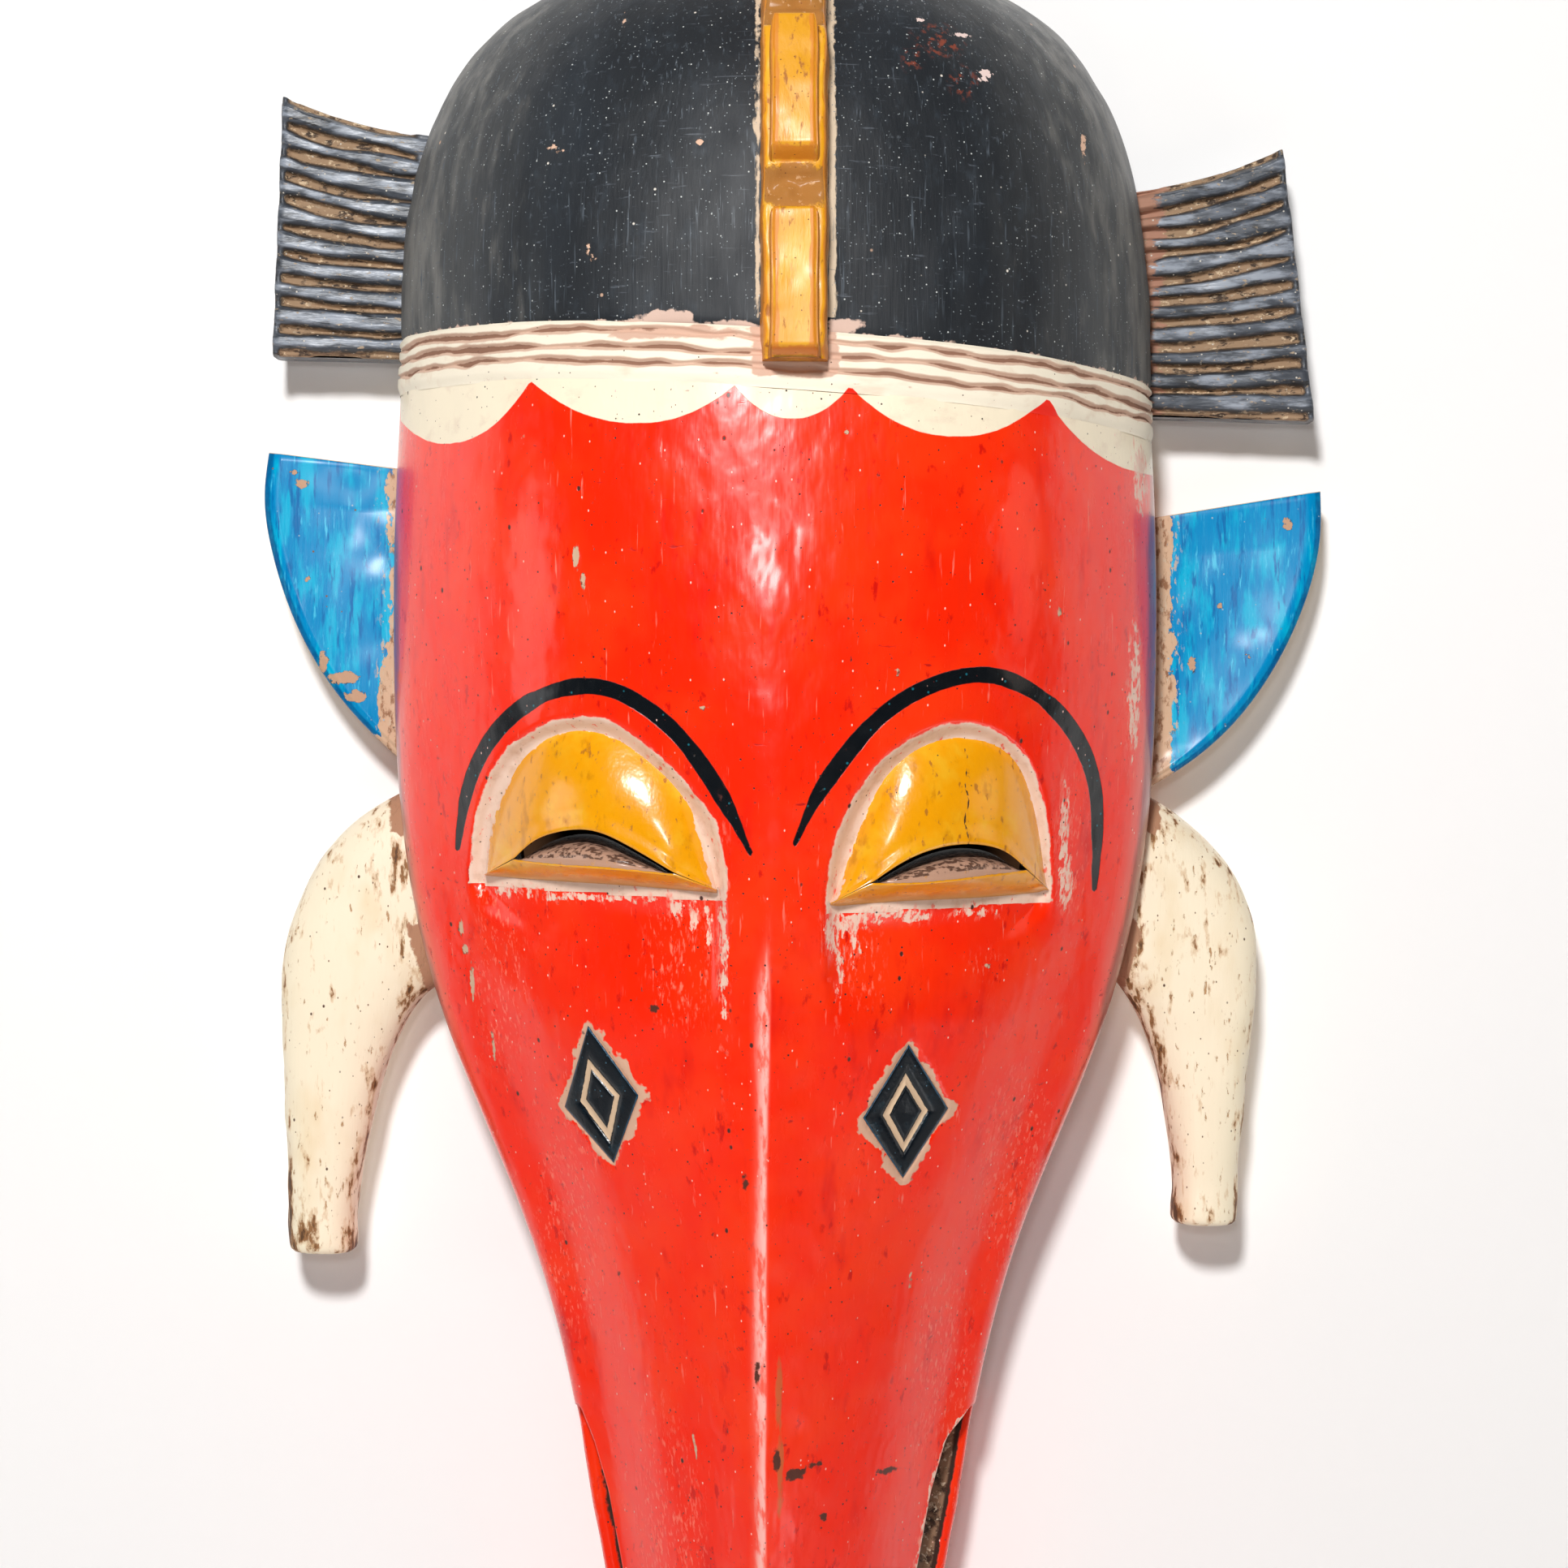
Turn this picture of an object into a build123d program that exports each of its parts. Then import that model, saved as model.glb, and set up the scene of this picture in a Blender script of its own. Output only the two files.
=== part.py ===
"""Carved and painted wooden bird mask: a hollow face with a long beak, a domed crown and side pieces let into it.

Frame, in millimetres: +Z up, +X to the right of someone facing the mask, +Y back towards the wall.
The origin is the mouth of the hanging hole, in the flat back rim.
"""

import math
import os

from build123d import *

os.makedirs("parts", exist_ok=True)

SIDES = {"left": -1, "right": 1}
BEYOND = 60.0  # long enough for a cut to run past the beak or a comb
BACK_SPARE = 5.0  # how far the lofts run past the rim plane, where they are then cut flat

# Crown: a quarter dome whose outline is a superellipse.
APEX_Z = 14.0
TIP_Z = -420.0
CROWN_BASE_Z = -75.0
CROWN_HALF_WIDTH = 81.5
CROWN_DEPTH = 86.0
CROWN_ROUNDNESS = 2.8
CROWN_RISES = (0.995, 0.94, 0.84, 0.70, 0.50, 0.26, 0.0)  # levels of the dome, as shares of its height

# Face and beak, downwards: height, half width, depth, and how much of a roof its section is:
# 0 is evenly rounded and 1 is two flanks that meet in a ridge.
FACE_STATIONS = (
    (-105.0, 82.6, 88.0, 0.00),
    (-135.0, 83.0, 88.0, 0.10),
    (-165.0, 82.0, 86.0, 0.30),
    (-195.0, 78.0, 82.0, 0.55),
    (-220.0, 71.0, 78.5, 0.75),
    (-245.0, 61.0, 75.0, 0.90),
    (-270.0, 51.5, 71.5, 1.00),
    (-300.0, 44.0, 67.5, 1.00),
    (-335.0, 37.8, 62.0, 1.00),
    (-370.0, 30.5, 55.0, 1.00),
    (-395.0, 23.5, 48.5, 1.00),
    (-411.0, 16.5, 42.0, 1.00),
    (TIP_Z, 9.0, 35.0, 1.00),
)
# One half of a section: share of the half width, and share of the depth there if round and if a roof.
HALF_SECTION = ((0.30, 0.968, 0.865), (0.60, 0.850, 0.690), (0.84, 0.610, 0.500))
SIDE_ROUND, SIDE_ROOF = 0.26, 0.36  # share of the depth that is straight side wall
RIDGE_X = -2.0  # the beak's ridge runs a little to the left
RIDGE_SLOPE = 0.42

WALL = 13.0
HOLLOW_APEX_Z = -12.0
HOLLOW_BOTTOM_Z = -270.0
HANGING_HOLE_RADIUS = 2.5
HANGING_HOLE_DEPTH = 12.0

# Brow band: a ring of the shell that is higher at its left end.
BAND_TOP_Z = -76.5
BAND_HEIGHT = 11.5
BAND_TILT = 3.6

# Crest: a keel over the crown with raised blocks on it. Spans are angles up from the level of the crown's
# base, and each degree below it is a millimetre straight down.
KEEL_X = 4.0
KEEL_WIDTH = 14.0
KEEL_RISE = 8.0
KEEL_LET_IN = 4.0
KEEL_SPAN = (-8.0, 78.0)
BLOCK_WIDTH = 11.0
BLOCK_RISE = 5.0
BLOCK_BEVEL = 1.5
BLOCK_SPANS = {"lower": (-8.0, 7.0), "middle": (11.4, 30.3), "upper": (37.0, 66.0)}

# Side pieces, seen from the front: points go outwards from the middle line and up.
PLATE_BACK = 6.0  # distance of their backs from the rim plane
COMB_THICKNESS = 14.0
COMB_GROOVES = 9
COMB_GROOVE_WIDTH = 2.0
COMB_GROOVE_DEPTH = 2.5
COMB_PITCH = 5.0
COMB_MIDDLES = {"left": -48.0, "right": -60.0}
COMB_OUTLINES = {
    "left": ((69.0, -26.0), (77.0, -24.0), (105.6, -16.4), (108.8, -72.4), (75.5, -73.5)),
    "right": ((75.0, -38.0), (83.5, -36.5), (110.6, -28.3), (116.8, -86.6), (76.0, -85.5)),
}
EAR_THICKNESS = 11.0
EAR_OUTLINES = {
    "left": ((76.0, -99.5), (110.2, -95.2), (111.5, -108.7), (105.2, -130.3), (94.4, -150.0), (76.0, -165.0)),
    "right": ((76.0, -111.0), (119.0, -103.7), (116.8, -122.0), (106.0, -146.4), (93.0, -160.0), (76.0, -168.0)),
}
HORN_THICKNESS = 17.0
HORN_BEVEL = 3.5
HORN_OUTER = {
    "left": ((75.0, -167.0), (91.0, -174.5), (106.1, -196.8), (108.3, -212.0), (107.0, -240.0), (106.6, -268.0)),
    "right": ((75.0, -169.5), (91.5, -176.5), (105.2, -196.8), (104.5, -218.4), (102.5, -242.0), (100.8, -262.0)),
}
HORN_INNER = {
    "left": ((93.0, -268.0), (89.5, -245.3), (84.0, -225.6), (77.3, -213.9), (69.5, -208.0)),
    "right": ((88.1, -262.0), (86.5, -245.0), (84.0, -229.0), (76.5, -212.0), (68.5, -203.0)),
}

# Eyes: an arch over a nearly level sill, filled by a lid that lies under the face and is cut by a slit.
LID_RECESS = 3.0
EYE_PRISM = (-10.0, -100.0)
EYES = {
    "left": {"outer": (-62.0, -184.5), "top": (-37.5, -154.0), "inner": (-10.5, -189.0)},
    "right": {"outer": (58.5, -188.5), "top": (38.5, -155.5), "inner": (11.5, -191.0)},
}
SLITS = {
    "left": {"outer": (-53.0, -182.0), "top": (-38.5, -176.5), "inner": (-20.5, -184.5)},
    "right": {"outer": (51.0, -184.5), "top": (38.5, -179.0), "inner": (20.5, -187.0)},
}
SLIT_SAG = 1.0

# Cheek diamonds: inlays level with the cheeks, at x and z, each with its turn about the cheek's normal.
DIAMOND_HEIGHT = 29.0
DIAMOND_WIDTH = 18.5
DIAMOND_DEPTH = 5.0
DIAMONDS = {"left": (-35.5, -232.5, 14.0), "right": (27.0, -235.0, 2.0)}

# Beak: the mouth is a slit between the upper beak and a wider lower beak behind it. The lips are the upper
# beak's edges, as distances outwards from the middle.
MOUTH_Y = -24.0
MOUTH_GAP = 3.0
MOUTH_TOP_Z = -302.0
MOUTH_BOTTOM_Z = -408.0
LIPS = {
    "left": ((41.5, -309.0), (33.5, -338.0), (25.5, -372.0), (15.5, -400.0), (8.0, -421.0)),
    "right": ((42.5, -302.0), (32.5, -338.0), (24.5, -372.0), (15.0, -400.0), (8.0, -421.0)),
}
TENON_WIDTH = 24.0
TENON_THICKNESS = 10.0
TENON_LENGTH = 8.0


def crown_share(rise):
    """Share of the crown's width and depth that is left at a share of its height."""
    return (1 - rise**CROWN_ROUNDNESS) ** (1 / CROWN_ROUNDNESS)


def shell_stations(inset, apex_z, bottom_z):
    """Heights, half widths, depths and roof shares of the shell's form, taken in by inset."""
    height = apex_z - CROWN_BASE_Z
    for rise in CROWN_RISES:
        share = crown_share(rise)
        half_width = (CROWN_HALF_WIDTH - inset) * share
        yield CROWN_BASE_Z + height * rise, half_width, (CROWN_DEPTH - inset) * share, 0.0
    for z, half_width, depth, roof in FACE_STATIONS:
        if z >= bottom_z:
            yield z, half_width - inset, depth - inset, roof


def draw_section(z, half_width, depth, roof):
    """One level section of the shell: a rounded or ridged front, straight side walls and a back past the rim."""
    side_y = -depth * (SIDE_ROUND + (SIDE_ROOF - SIDE_ROUND) * roof)
    front = [(half_width * x, -depth * (a + (b - a) * roof)) for x, a, b in HALF_SECTION]
    front.append((half_width, side_y))
    ridge = (RIDGE_X * roof, -depth)
    slope = RIDGE_SLOPE * roof
    with BuildSketch(Plane.XY.offset(z)) as level:
        with BuildLine():
            Spline([ridge, *front], tangents=[(1, slope), (0, 1)])
            Line((half_width, side_y), (half_width, BACK_SPARE))
            Line((half_width, BACK_SPARE), (-half_width, BACK_SPARE))
            Line((-half_width, BACK_SPARE), (-half_width, side_y))
            Spline([ridge, *((-x, y) for x, y in front)], tangents=[(-1, slope), (0, 1)])
        make_face()
    return level.sketch


def crest_point(angle, rise):
    """A point of the crown's middle line, raised by rise, at an angle up from the level of the crown's base."""
    if angle < 0:
        return -CROWN_DEPTH - rise, CROWN_BASE_Z + angle
    power = 2 / CROWN_ROUNDNESS
    y = -(CROWN_DEPTH + rise) * math.cos(math.radians(angle)) ** power
    return y, CROWN_BASE_Z + (APEX_Z - CROWN_BASE_Z + rise) * math.sin(math.radians(angle)) ** power


def draw_crest_strip(low, high, span):
    """A strip over the crown's middle line, between two rises above it and between the two angles of its span."""
    start, end = span
    angles = [start + (end - start) * step / 10 for step in range(11)]
    with BuildSketch(Plane.YZ.offset(KEEL_X)) as strip:
        with BuildLine():
            for rise in (low, high):
                Spline([crest_point(angle, rise) for angle in angles])
            for angle in span:
                Line(crest_point(angle, low), crest_point(angle, high))
        make_face()
    return strip.sketch


def band_plane(z):
    tilt = math.radians(BAND_TILT)
    return Plane(origin=(0, 0, z), z_dir=(math.sin(tilt), 0, math.cos(tilt)))


def outline_points(points, side):
    return [(side * x, z) for x, z in points]


def draw_lens(outer, top, inner, low):
    """An arch through three points over a lower edge, which is straight where low is 0 and sags by low."""
    with BuildSketch(Plane.XZ.offset(-EYE_PRISM[0])) as lens:
        with BuildLine():
            ThreePointArc(outer, top, inner)
            if low:
                ThreePointArc(inner, ((outer[0] + inner[0]) / 2, (outer[1] + inner[1]) / 2 - low), outer)
            else:
                Line(inner, outer)
        make_face()
    return lens.sketch


# The mask's whole outer form, its hollow, and the form that the eyelids' fronts lie on.
with BuildPart() as outer:
    loft([draw_section(*station) for station in shell_stations(0.0, APEX_Z, TIP_Z)])
    split(bisect_by=Plane.XZ, keep=Keep.TOP)

with BuildPart() as hollow:
    loft([draw_section(*station) for station in shell_stations(WALL, HOLLOW_APEX_Z, HOLLOW_BOTTOM_Z)])

with BuildPart() as lid_form:
    loft([draw_section(z, w - LID_RECESS, d - LID_RECESS, roof) for z, w, d, roof in FACE_STATIONS[1:5]])

pieces = {}

# Combs: plates at the temples, with a dished top edge and level grooves in front.
for name, side in SIDES.items():
    outline = outline_points(COMB_OUTLINES[name], side)
    with BuildPart() as comb:
        with BuildSketch(Plane.XZ.offset(PLATE_BACK)):
            with BuildLine():
                Polyline(outline[2:] + outline[:1])
                Spline(outline[:3], tangents=[(side, 0.1), (side, 0.5)])
            make_face()
        extrude(amount=COMB_THICKNESS)
        with BuildSketch(Plane.XZ.offset(PLATE_BACK + COMB_THICKNESS - COMB_GROOVE_DEPTH)):
            with Locations((side * COMB_OUTLINES[name][2][0], COMB_MIDDLES[name])):
                with GridLocations(0, COMB_PITCH, 1, COMB_GROOVES):
                    Rectangle(BEYOND, COMB_GROOVE_WIDTH)
        extrude(amount=COMB_THICKNESS, mode=Mode.SUBTRACT)
    pieces[f"comb_{name}"] = comb.part

# Ears: fins with a level top edge and a curved outer edge that runs down to the face.
for name, side in SIDES.items():
    outline = outline_points(EAR_OUTLINES[name], side)
    with BuildPart() as ear:
        with BuildSketch(Plane.XZ.offset(PLATE_BACK)):
            with BuildLine():
                Line(outline[0], outline[1])
                Spline(outline[1:])
                Line(outline[-1], outline[0])
            make_face()
        extrude(amount=EAR_THICKNESS)
    pieces[f"ear_{name}"] = ear.part

# Horns: thick drops that hang from the cheeks.
for name, side in SIDES.items():
    outer_edge = outline_points(HORN_OUTER[name], side)
    inner_edge = outline_points(HORN_INNER[name], side)
    with BuildPart() as horn:
        with BuildSketch(Plane.XZ.offset(PLATE_BACK)):
            with BuildLine():
                Spline(outer_edge)
                Line(outer_edge[-1], inner_edge[0])
                Spline(inner_edge)
                Line(inner_edge[-1], outer_edge[0])
            make_face()
        extrude(amount=HORN_THICKNESS)
        chamfer(horn.faces().sort_by(Axis.Y)[0].edges(), HORN_BEVEL)
    pieces[f"horn_{name}"] = horn.part

with BuildPart() as crest_keel:
    extrude(draw_crest_strip(-KEEL_LET_IN, KEEL_RISE, KEEL_SPAN), amount=KEEL_WIDTH / 2, both=True)
pieces["crest_keel"] = crest_keel.part

for name, span in BLOCK_SPANS.items():
    with BuildPart() as block:
        extrude(draw_crest_strip(0.0, KEEL_RISE + BLOCK_RISE, span), amount=BLOCK_WIDTH / 2, both=True)
        front = block.faces().sort_by(SortBy.AREA)[-1]
        chamfer(front.edges(), BLOCK_BEVEL)
        add(crest_keel.part, mode=Mode.SUBTRACT)
    pieces[f"crest_block_{name}"] = block.part

# Eyelids: plugs in the eye openings, from the hollow out to just under the face, each with a slit to see through.
eye_openings = {}
for name, corners in EYES.items():
    with BuildPart() as eye_opening:
        extrude(draw_lens(corners["outer"], corners["top"], corners["inner"], 0.0), amount=EYE_PRISM[0] - EYE_PRISM[1])
    eye_openings[name] = eye_opening.part
    slit = SLITS[name]
    with BuildPart() as eyelid:
        add(eye_opening.part)
        add(lid_form.part, mode=Mode.INTERSECT)
        add(hollow.part, mode=Mode.SUBTRACT)
        lens = draw_lens(slit["outer"], slit["top"], slit["inner"], SLIT_SAG)
        extrude(lens, amount=EYE_PRISM[0] - EYE_PRISM[1], mode=Mode.SUBTRACT)
    pieces[f"eyelid_{name}"] = eyelid.part

# Cheek diamonds: the pocket's prism stands on the cheek's normal, and the inlay is what lies inside the face.
diamond_pockets = {}
for name, (x, z, turn) in DIAMONDS.items():
    point, normal = outer.part.find_intersection_points(Axis((x, -200, z), (0, 1, 0)))[0]
    level = Vector(0, 0, 1).cross(normal)
    cheek = Plane(origin=point - normal * DIAMOND_DEPTH, x_dir=level, z_dir=normal)
    with BuildPart() as pocket:
        with BuildSketch(cheek):
            with BuildLine(Rotation(0, 0, turn)):
                half_w, half_h = DIAMOND_WIDTH / 2, DIAMOND_HEIGHT / 2
                Polyline((half_w, 0), (0, half_h), (-half_w, 0), (0, -half_h), close=True)
            make_face()
        extrude(amount=3 * DIAMOND_DEPTH)
    diamond_pockets[name] = pocket.part
    with BuildPart() as diamond:
        add(pocket.part)
        add(outer.part, mode=Mode.INTERSECT)
    pieces[f"cheek_diamond_{name}"] = diamond.part

# Lower beak: the back of the beak, with a tenon up into the face.
with BuildPart() as beak_back:
    with Locations((0, MOUTH_Y, MOUTH_TOP_Z)):
        Box(2 * BEYOND, BEYOND, 3 * BEYOND, align=(Align.CENTER, Align.MIN, Align.MAX))

with BuildPart() as tenon:
    with Locations((0, MOUTH_Y / 2, MOUTH_TOP_Z)):
        Box(TENON_WIDTH, TENON_THICKNESS, TENON_LENGTH, align=(Align.CENTER, Align.CENTER, Align.MIN))

with BuildPart() as lower_beak:
    add(outer.part)
    add(beak_back.part, mode=Mode.INTERSECT)
    add(tenon.part)
pieces["lower_beak"] = lower_beak.part

# Crown, brow band and face: the shell, parted by two tilted planes, with a housing for each piece let into it.
band_top, band_bottom = band_plane(BAND_TOP_Z), band_plane(BAND_TOP_Z - BAND_HEIGHT)

with BuildPart() as shell:
    add(outer.part)
    add(hollow.part, mode=Mode.SUBTRACT)
    for name, part in pieces.items():
        if name.startswith(("comb", "ear", "horn", "crest_keel")):
            add(part, mode=Mode.SUBTRACT)

with BuildPart() as crown_cap:
    add(shell.part)
    split(bisect_by=band_top, keep=Keep.TOP)
    with Locations(Plane.XZ):
        Hole(HANGING_HOLE_RADIUS, depth=HANGING_HOLE_DEPTH)
pieces["crown_cap"] = crown_cap.part

with BuildPart() as brow_band:
    add(shell.part)
    split(bisect_by=band_top, keep=Keep.BOTTOM)
    split(bisect_by=band_bottom, keep=Keep.TOP)
pieces["brow_band"] = brow_band.part

with BuildPart() as face_shell:
    add(shell.part)
    split(bisect_by=band_bottom, keep=Keep.BOTTOM)
    for cutter in (*eye_openings.values(), *diamond_pockets.values(), beak_back.part, tenon.part):
        add(cutter, mode=Mode.SUBTRACT)
    with Locations((0, MOUTH_Y, MOUTH_TOP_Z)):
        mouth_height = MOUTH_TOP_Z - MOUTH_BOTTOM_Z
        Box(2 * BEYOND, MOUTH_GAP, mouth_height, align=(Align.CENTER, Align.MAX, Align.MAX), mode=Mode.SUBTRACT)
    for name, side in SIDES.items():
        with BuildSketch(Plane.XZ.offset(-MOUTH_Y)):
            with BuildLine():
                lip = outline_points(LIPS[name], side)
                Polyline(*lip, (side * BEYOND, lip[-1][1]), (side * BEYOND, lip[0][1]), close=True)
            make_face()
    extrude(amount=BEYOND, mode=Mode.SUBTRACT)
pieces["face_shell"] = face_shell.part

for name, part in pieces.items():
    part.label = name
    export_step(part, f"parts/{name}.step")
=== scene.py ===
"""Looks of a carved and painted wooden bird mask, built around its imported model.

Lengths are in millimetres in the model's frame, and MM turns them into metres: x to the viewer's right,
y back to the wall and z up, with the origin at the hanging hole. The form repeats the model's own values.
"""

import math

import bpy
import numpy as np
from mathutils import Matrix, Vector


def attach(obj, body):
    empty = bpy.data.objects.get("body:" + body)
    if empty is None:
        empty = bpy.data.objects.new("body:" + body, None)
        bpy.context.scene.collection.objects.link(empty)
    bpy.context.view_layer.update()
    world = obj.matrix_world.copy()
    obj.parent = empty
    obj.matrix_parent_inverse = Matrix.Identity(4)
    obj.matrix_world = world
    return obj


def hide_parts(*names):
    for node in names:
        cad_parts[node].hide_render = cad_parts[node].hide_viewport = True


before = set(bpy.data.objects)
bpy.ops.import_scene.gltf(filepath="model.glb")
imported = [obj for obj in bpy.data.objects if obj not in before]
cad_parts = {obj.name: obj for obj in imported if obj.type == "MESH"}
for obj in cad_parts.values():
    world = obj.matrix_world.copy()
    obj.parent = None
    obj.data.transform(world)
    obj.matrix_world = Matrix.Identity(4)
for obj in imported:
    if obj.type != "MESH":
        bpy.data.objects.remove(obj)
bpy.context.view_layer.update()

MM = 0.001
SIDES = {"left": -1, "right": 1}

# Form of the shell, as in the model: a superellipse crown over stations.
# Each station is a height, a half width, a depth and how much the section is a roof.
APEX_Z = 14.0
TIP_Z = -420.0
CROWN_BASE_Z = -75.0
CROWN_ROUNDNESS = 2.8
STATIONS = (
    (CROWN_BASE_Z, 81.5, 86.0, 0.00),
    (-105.0, 82.6, 88.0, 0.00),
    (-135.0, 83.0, 88.0, 0.10),
    (-165.0, 82.0, 86.0, 0.30),
    (-195.0, 78.0, 82.0, 0.55),
    (-220.0, 71.0, 78.5, 0.75),
    (-245.0, 61.0, 75.0, 0.90),
    (-270.0, 51.5, 71.5, 1.00),
    (-300.0, 44.0, 67.5, 1.00),
    (-335.0, 37.8, 62.0, 1.00),
    (-370.0, 30.5, 55.0, 1.00),
    (-395.0, 23.5, 48.5, 1.00),
    (-411.0, 16.5, 42.0, 1.00),
    (TIP_Z, 9.0, 35.0, 1.00),
)
SECTION_KNOTS = (0.0, 0.23, 0.47, 0.72, 1.0)
SECTION_ACROSS = (0.0, 0.30, 0.60, 0.84, 1.0)
SECTION_ROUND = (1.0, 0.968, 0.850, 0.610, 0.26)
SECTION_ROOF = (1.0, 0.865, 0.690, 0.500, 0.36)
SECTION_SPEED = 1.32
RIDGE_X = -2.0
RIDGE_SLOPE = 0.42
WALL = 13.0
HOLLOW_APEX_Z = -12.0
HOLLOW_BOTTOM_Z = -270.0
HOLE_RADIUS = 2.5
HOLE_DEPTH = 12.0
BAND_TOP_Z = -76.5
BAND_HEIGHT = 11.5
BAND_SLOPE = math.tan(math.radians(3.6))
MOUTH_TOP_Z = -302.0
MOUTH_FRONT_Y = -27.0
MOUTH_BACK_Y = -24.0
FAR = 9.0  # stands for any distance that is too long to matter


# ---- Curves and fields ----

def spline(knots, values, at, start=None, end=None):
    """The cubic curve through values at knots, bent as evenly as it can be. End slopes may be given."""
    knots, values = np.asarray(knots, float), np.asarray(values, float)
    step = np.diff(knots)
    rise = np.diff(values, axis=0) / step[:, None]
    count = len(knots)
    matrix, right = np.zeros((count, count)), np.zeros(values.shape)
    for i in range(1, count - 1):
        matrix[i, i - 1:i + 2] = step[i], 2 * (step[i - 1] + step[i]), step[i - 1]
        right[i] = 3 * (step[i] * rise[i - 1] + step[i - 1] * rise[i])
    for row, beside, slope, first in ((0, 1, start, rise[0]), (count - 1, count - 2, end, rise[-1])):
        matrix[row, row], right[row] = 2, 3 * first
        matrix[row, beside] = 1
        if slope is not None:
            matrix[row, row], matrix[row, beside], right[row] = 1, 0, slope
    slopes = np.linalg.solve(matrix, right)
    at = np.asarray(at, float)
    i = np.clip(np.searchsorted(knots, at, side="right") - 1, 0, count - 2)
    t, h = ((at - knots[i]) / step[i])[..., None], step[i][..., None]
    return (values[i] * (1 + 2 * t) * (1 - t) ** 2 + slopes[i] * h * t * (1 - t) ** 2
            + values[i + 1] * t * t * (3 - 2 * t) + slopes[i + 1] * h * t * t * (t - 1))


def along_path(points, share):
    """Points at the given shares of the length of the smooth curve through the given ones."""
    points = np.array(points, float)
    along = np.r_[0, np.cumsum(np.linalg.norm(np.diff(points, axis=0), axis=1))]
    return spline(along, points, np.asarray(share) * along[-1])


def smooth_path(points, count):
    """Evenly spaced points along the smooth curve through the given ones."""
    return along_path(points, np.linspace(0, 1, count))


def ramp(value, low, high):
    """Rises smoothly from 0 at low to 1 at high."""
    t = np.clip((value - low) / (high - low), 0, 1)
    return t * t * (3 - 2 * t)


def path_distance(x, z, path):
    """Distance from each point to an open path, and the share of the path at the nearest place."""
    best, share = np.full(x.shape, 1e6), np.zeros(x.shape)
    for i, (a, b) in enumerate(zip(path[:-1], path[1:])):
        step = b - a
        t = np.clip(((x - a[0]) * step[0] + (z - a[1]) * step[1]) / (step @ step), 0, 1)
        gap = np.hypot(x - a[0] - t * step[0], z - a[1] - t * step[1])
        nearer = gap < best
        best = np.where(nearer, gap, best)
        share = np.where(nearer, (i + t) / (len(path) - 1), share)
    return best, share


def inside(x, z, outline):
    """True for the points inside a closed outline."""
    odd = np.zeros(x.shape, bool)
    for a, b in zip(outline, np.roll(outline, -1, axis=0)):
        if a[1] != b[1]:
            crosses = (a[1] > z) != (b[1] > z)
            odd ^= crosses & (x < (b[0] - a[0]) * (z - a[1]) / (b[1] - a[1]) + a[0])
    return odd


def depth_inside(x, z, outline):
    """Signed distance to a closed outline, positive inside."""
    gap, _ = path_distance(x, z, np.vstack([outline, outline[:1]]))
    return np.where(inside(x, z, outline), gap, -gap)


def wander(a, b, size, seed):
    """Smooth unevenness between -1 and 1 over the plane a, b, with bumps of about the given size."""
    cells = 64
    lattice = np.random.default_rng(seed).uniform(-1, 1, (cells, cells))
    a, b = np.asarray(a) / size + cells / 2, np.asarray(b) / size + cells / 2
    i, j = np.floor(a).astype(int), np.floor(b).astype(int)
    u, v = a - i, b - j
    u, v = u * u * (3 - 2 * u), v * v * (3 - 2 * v)
    i0, i1, j0, j1 = i % cells, (i + 1) % cells, j % cells, (j + 1) % cells
    low = lattice[i0, j0] * (1 - u) + lattice[i1, j0] * u
    high = lattice[i0, j1] * (1 - u) + lattice[i1, j1] * u
    return low * (1 - v) + high * v


def gouges(a, b, width, length, seed):
    """Height of overlapping gouge cuts over the plane a, b: 0 in a cut's bed and 1 between cuts."""
    cells = 32
    draws = np.random.default_rng(seed).uniform(0.15, 0.85, (cells, cells, 2))
    a, b = a / width + 100, b / length + 100
    i, j = np.floor(a).astype(int), np.floor(b).astype(int)
    best = FAR
    for di in (-1, 0, 1):
        for dj in (-1, 0, 1):
            spot = draws[(i + di) % cells, (j + dj) % cells]
            gap = (i + di + spot[..., 0] - a) ** 2 + (j + dj + spot[..., 1] - b) ** 2
            best = np.minimum(best, gap)
    return np.minimum(best, 1)


# ---- The shell's form ----

def form(z, inset=0.0, apex=APEX_Z):
    """Half width, depth and roof share of the shell's section at a height, taken in by inset."""
    z = np.asarray(z, float)
    stations = np.array(STATIONS[::-1])
    below = spline(stations[:, 0], stations[:, 1:], np.clip(z, TIP_Z, CROWN_BASE_Z), end=0.0)
    rise = np.clip((z - CROWN_BASE_Z) / (apex - CROWN_BASE_Z), 0, 1)
    share = (1 - rise ** CROWN_ROUNDNESS) ** (1 / CROWN_ROUNDNESS)
    return (below[..., 0] - inset) * share, (below[..., 1] - inset) * share, np.clip(below[..., 2], 0, 1)


def section_shares(across):
    """Shares of a section at its own coordinate, 0 at the ridge and 1 where the side wall begins."""
    rows = zip(SECTION_ACROSS, (1, 0, 0, 0, 0), SECTION_ROUND, SECTION_ROOF, (0,) * 5)
    start = np.array((SECTION_SPEED, -1 / SECTION_KNOTS[1], 0.0, 0.0, SECTION_SPEED))
    end = np.array((0.0, 0.0, -1.40, -0.90, 0.0))
    shares = spline(SECTION_KNOTS, list(rows), across, start, end)
    return [shares[..., i] for i in range(5)]


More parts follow.
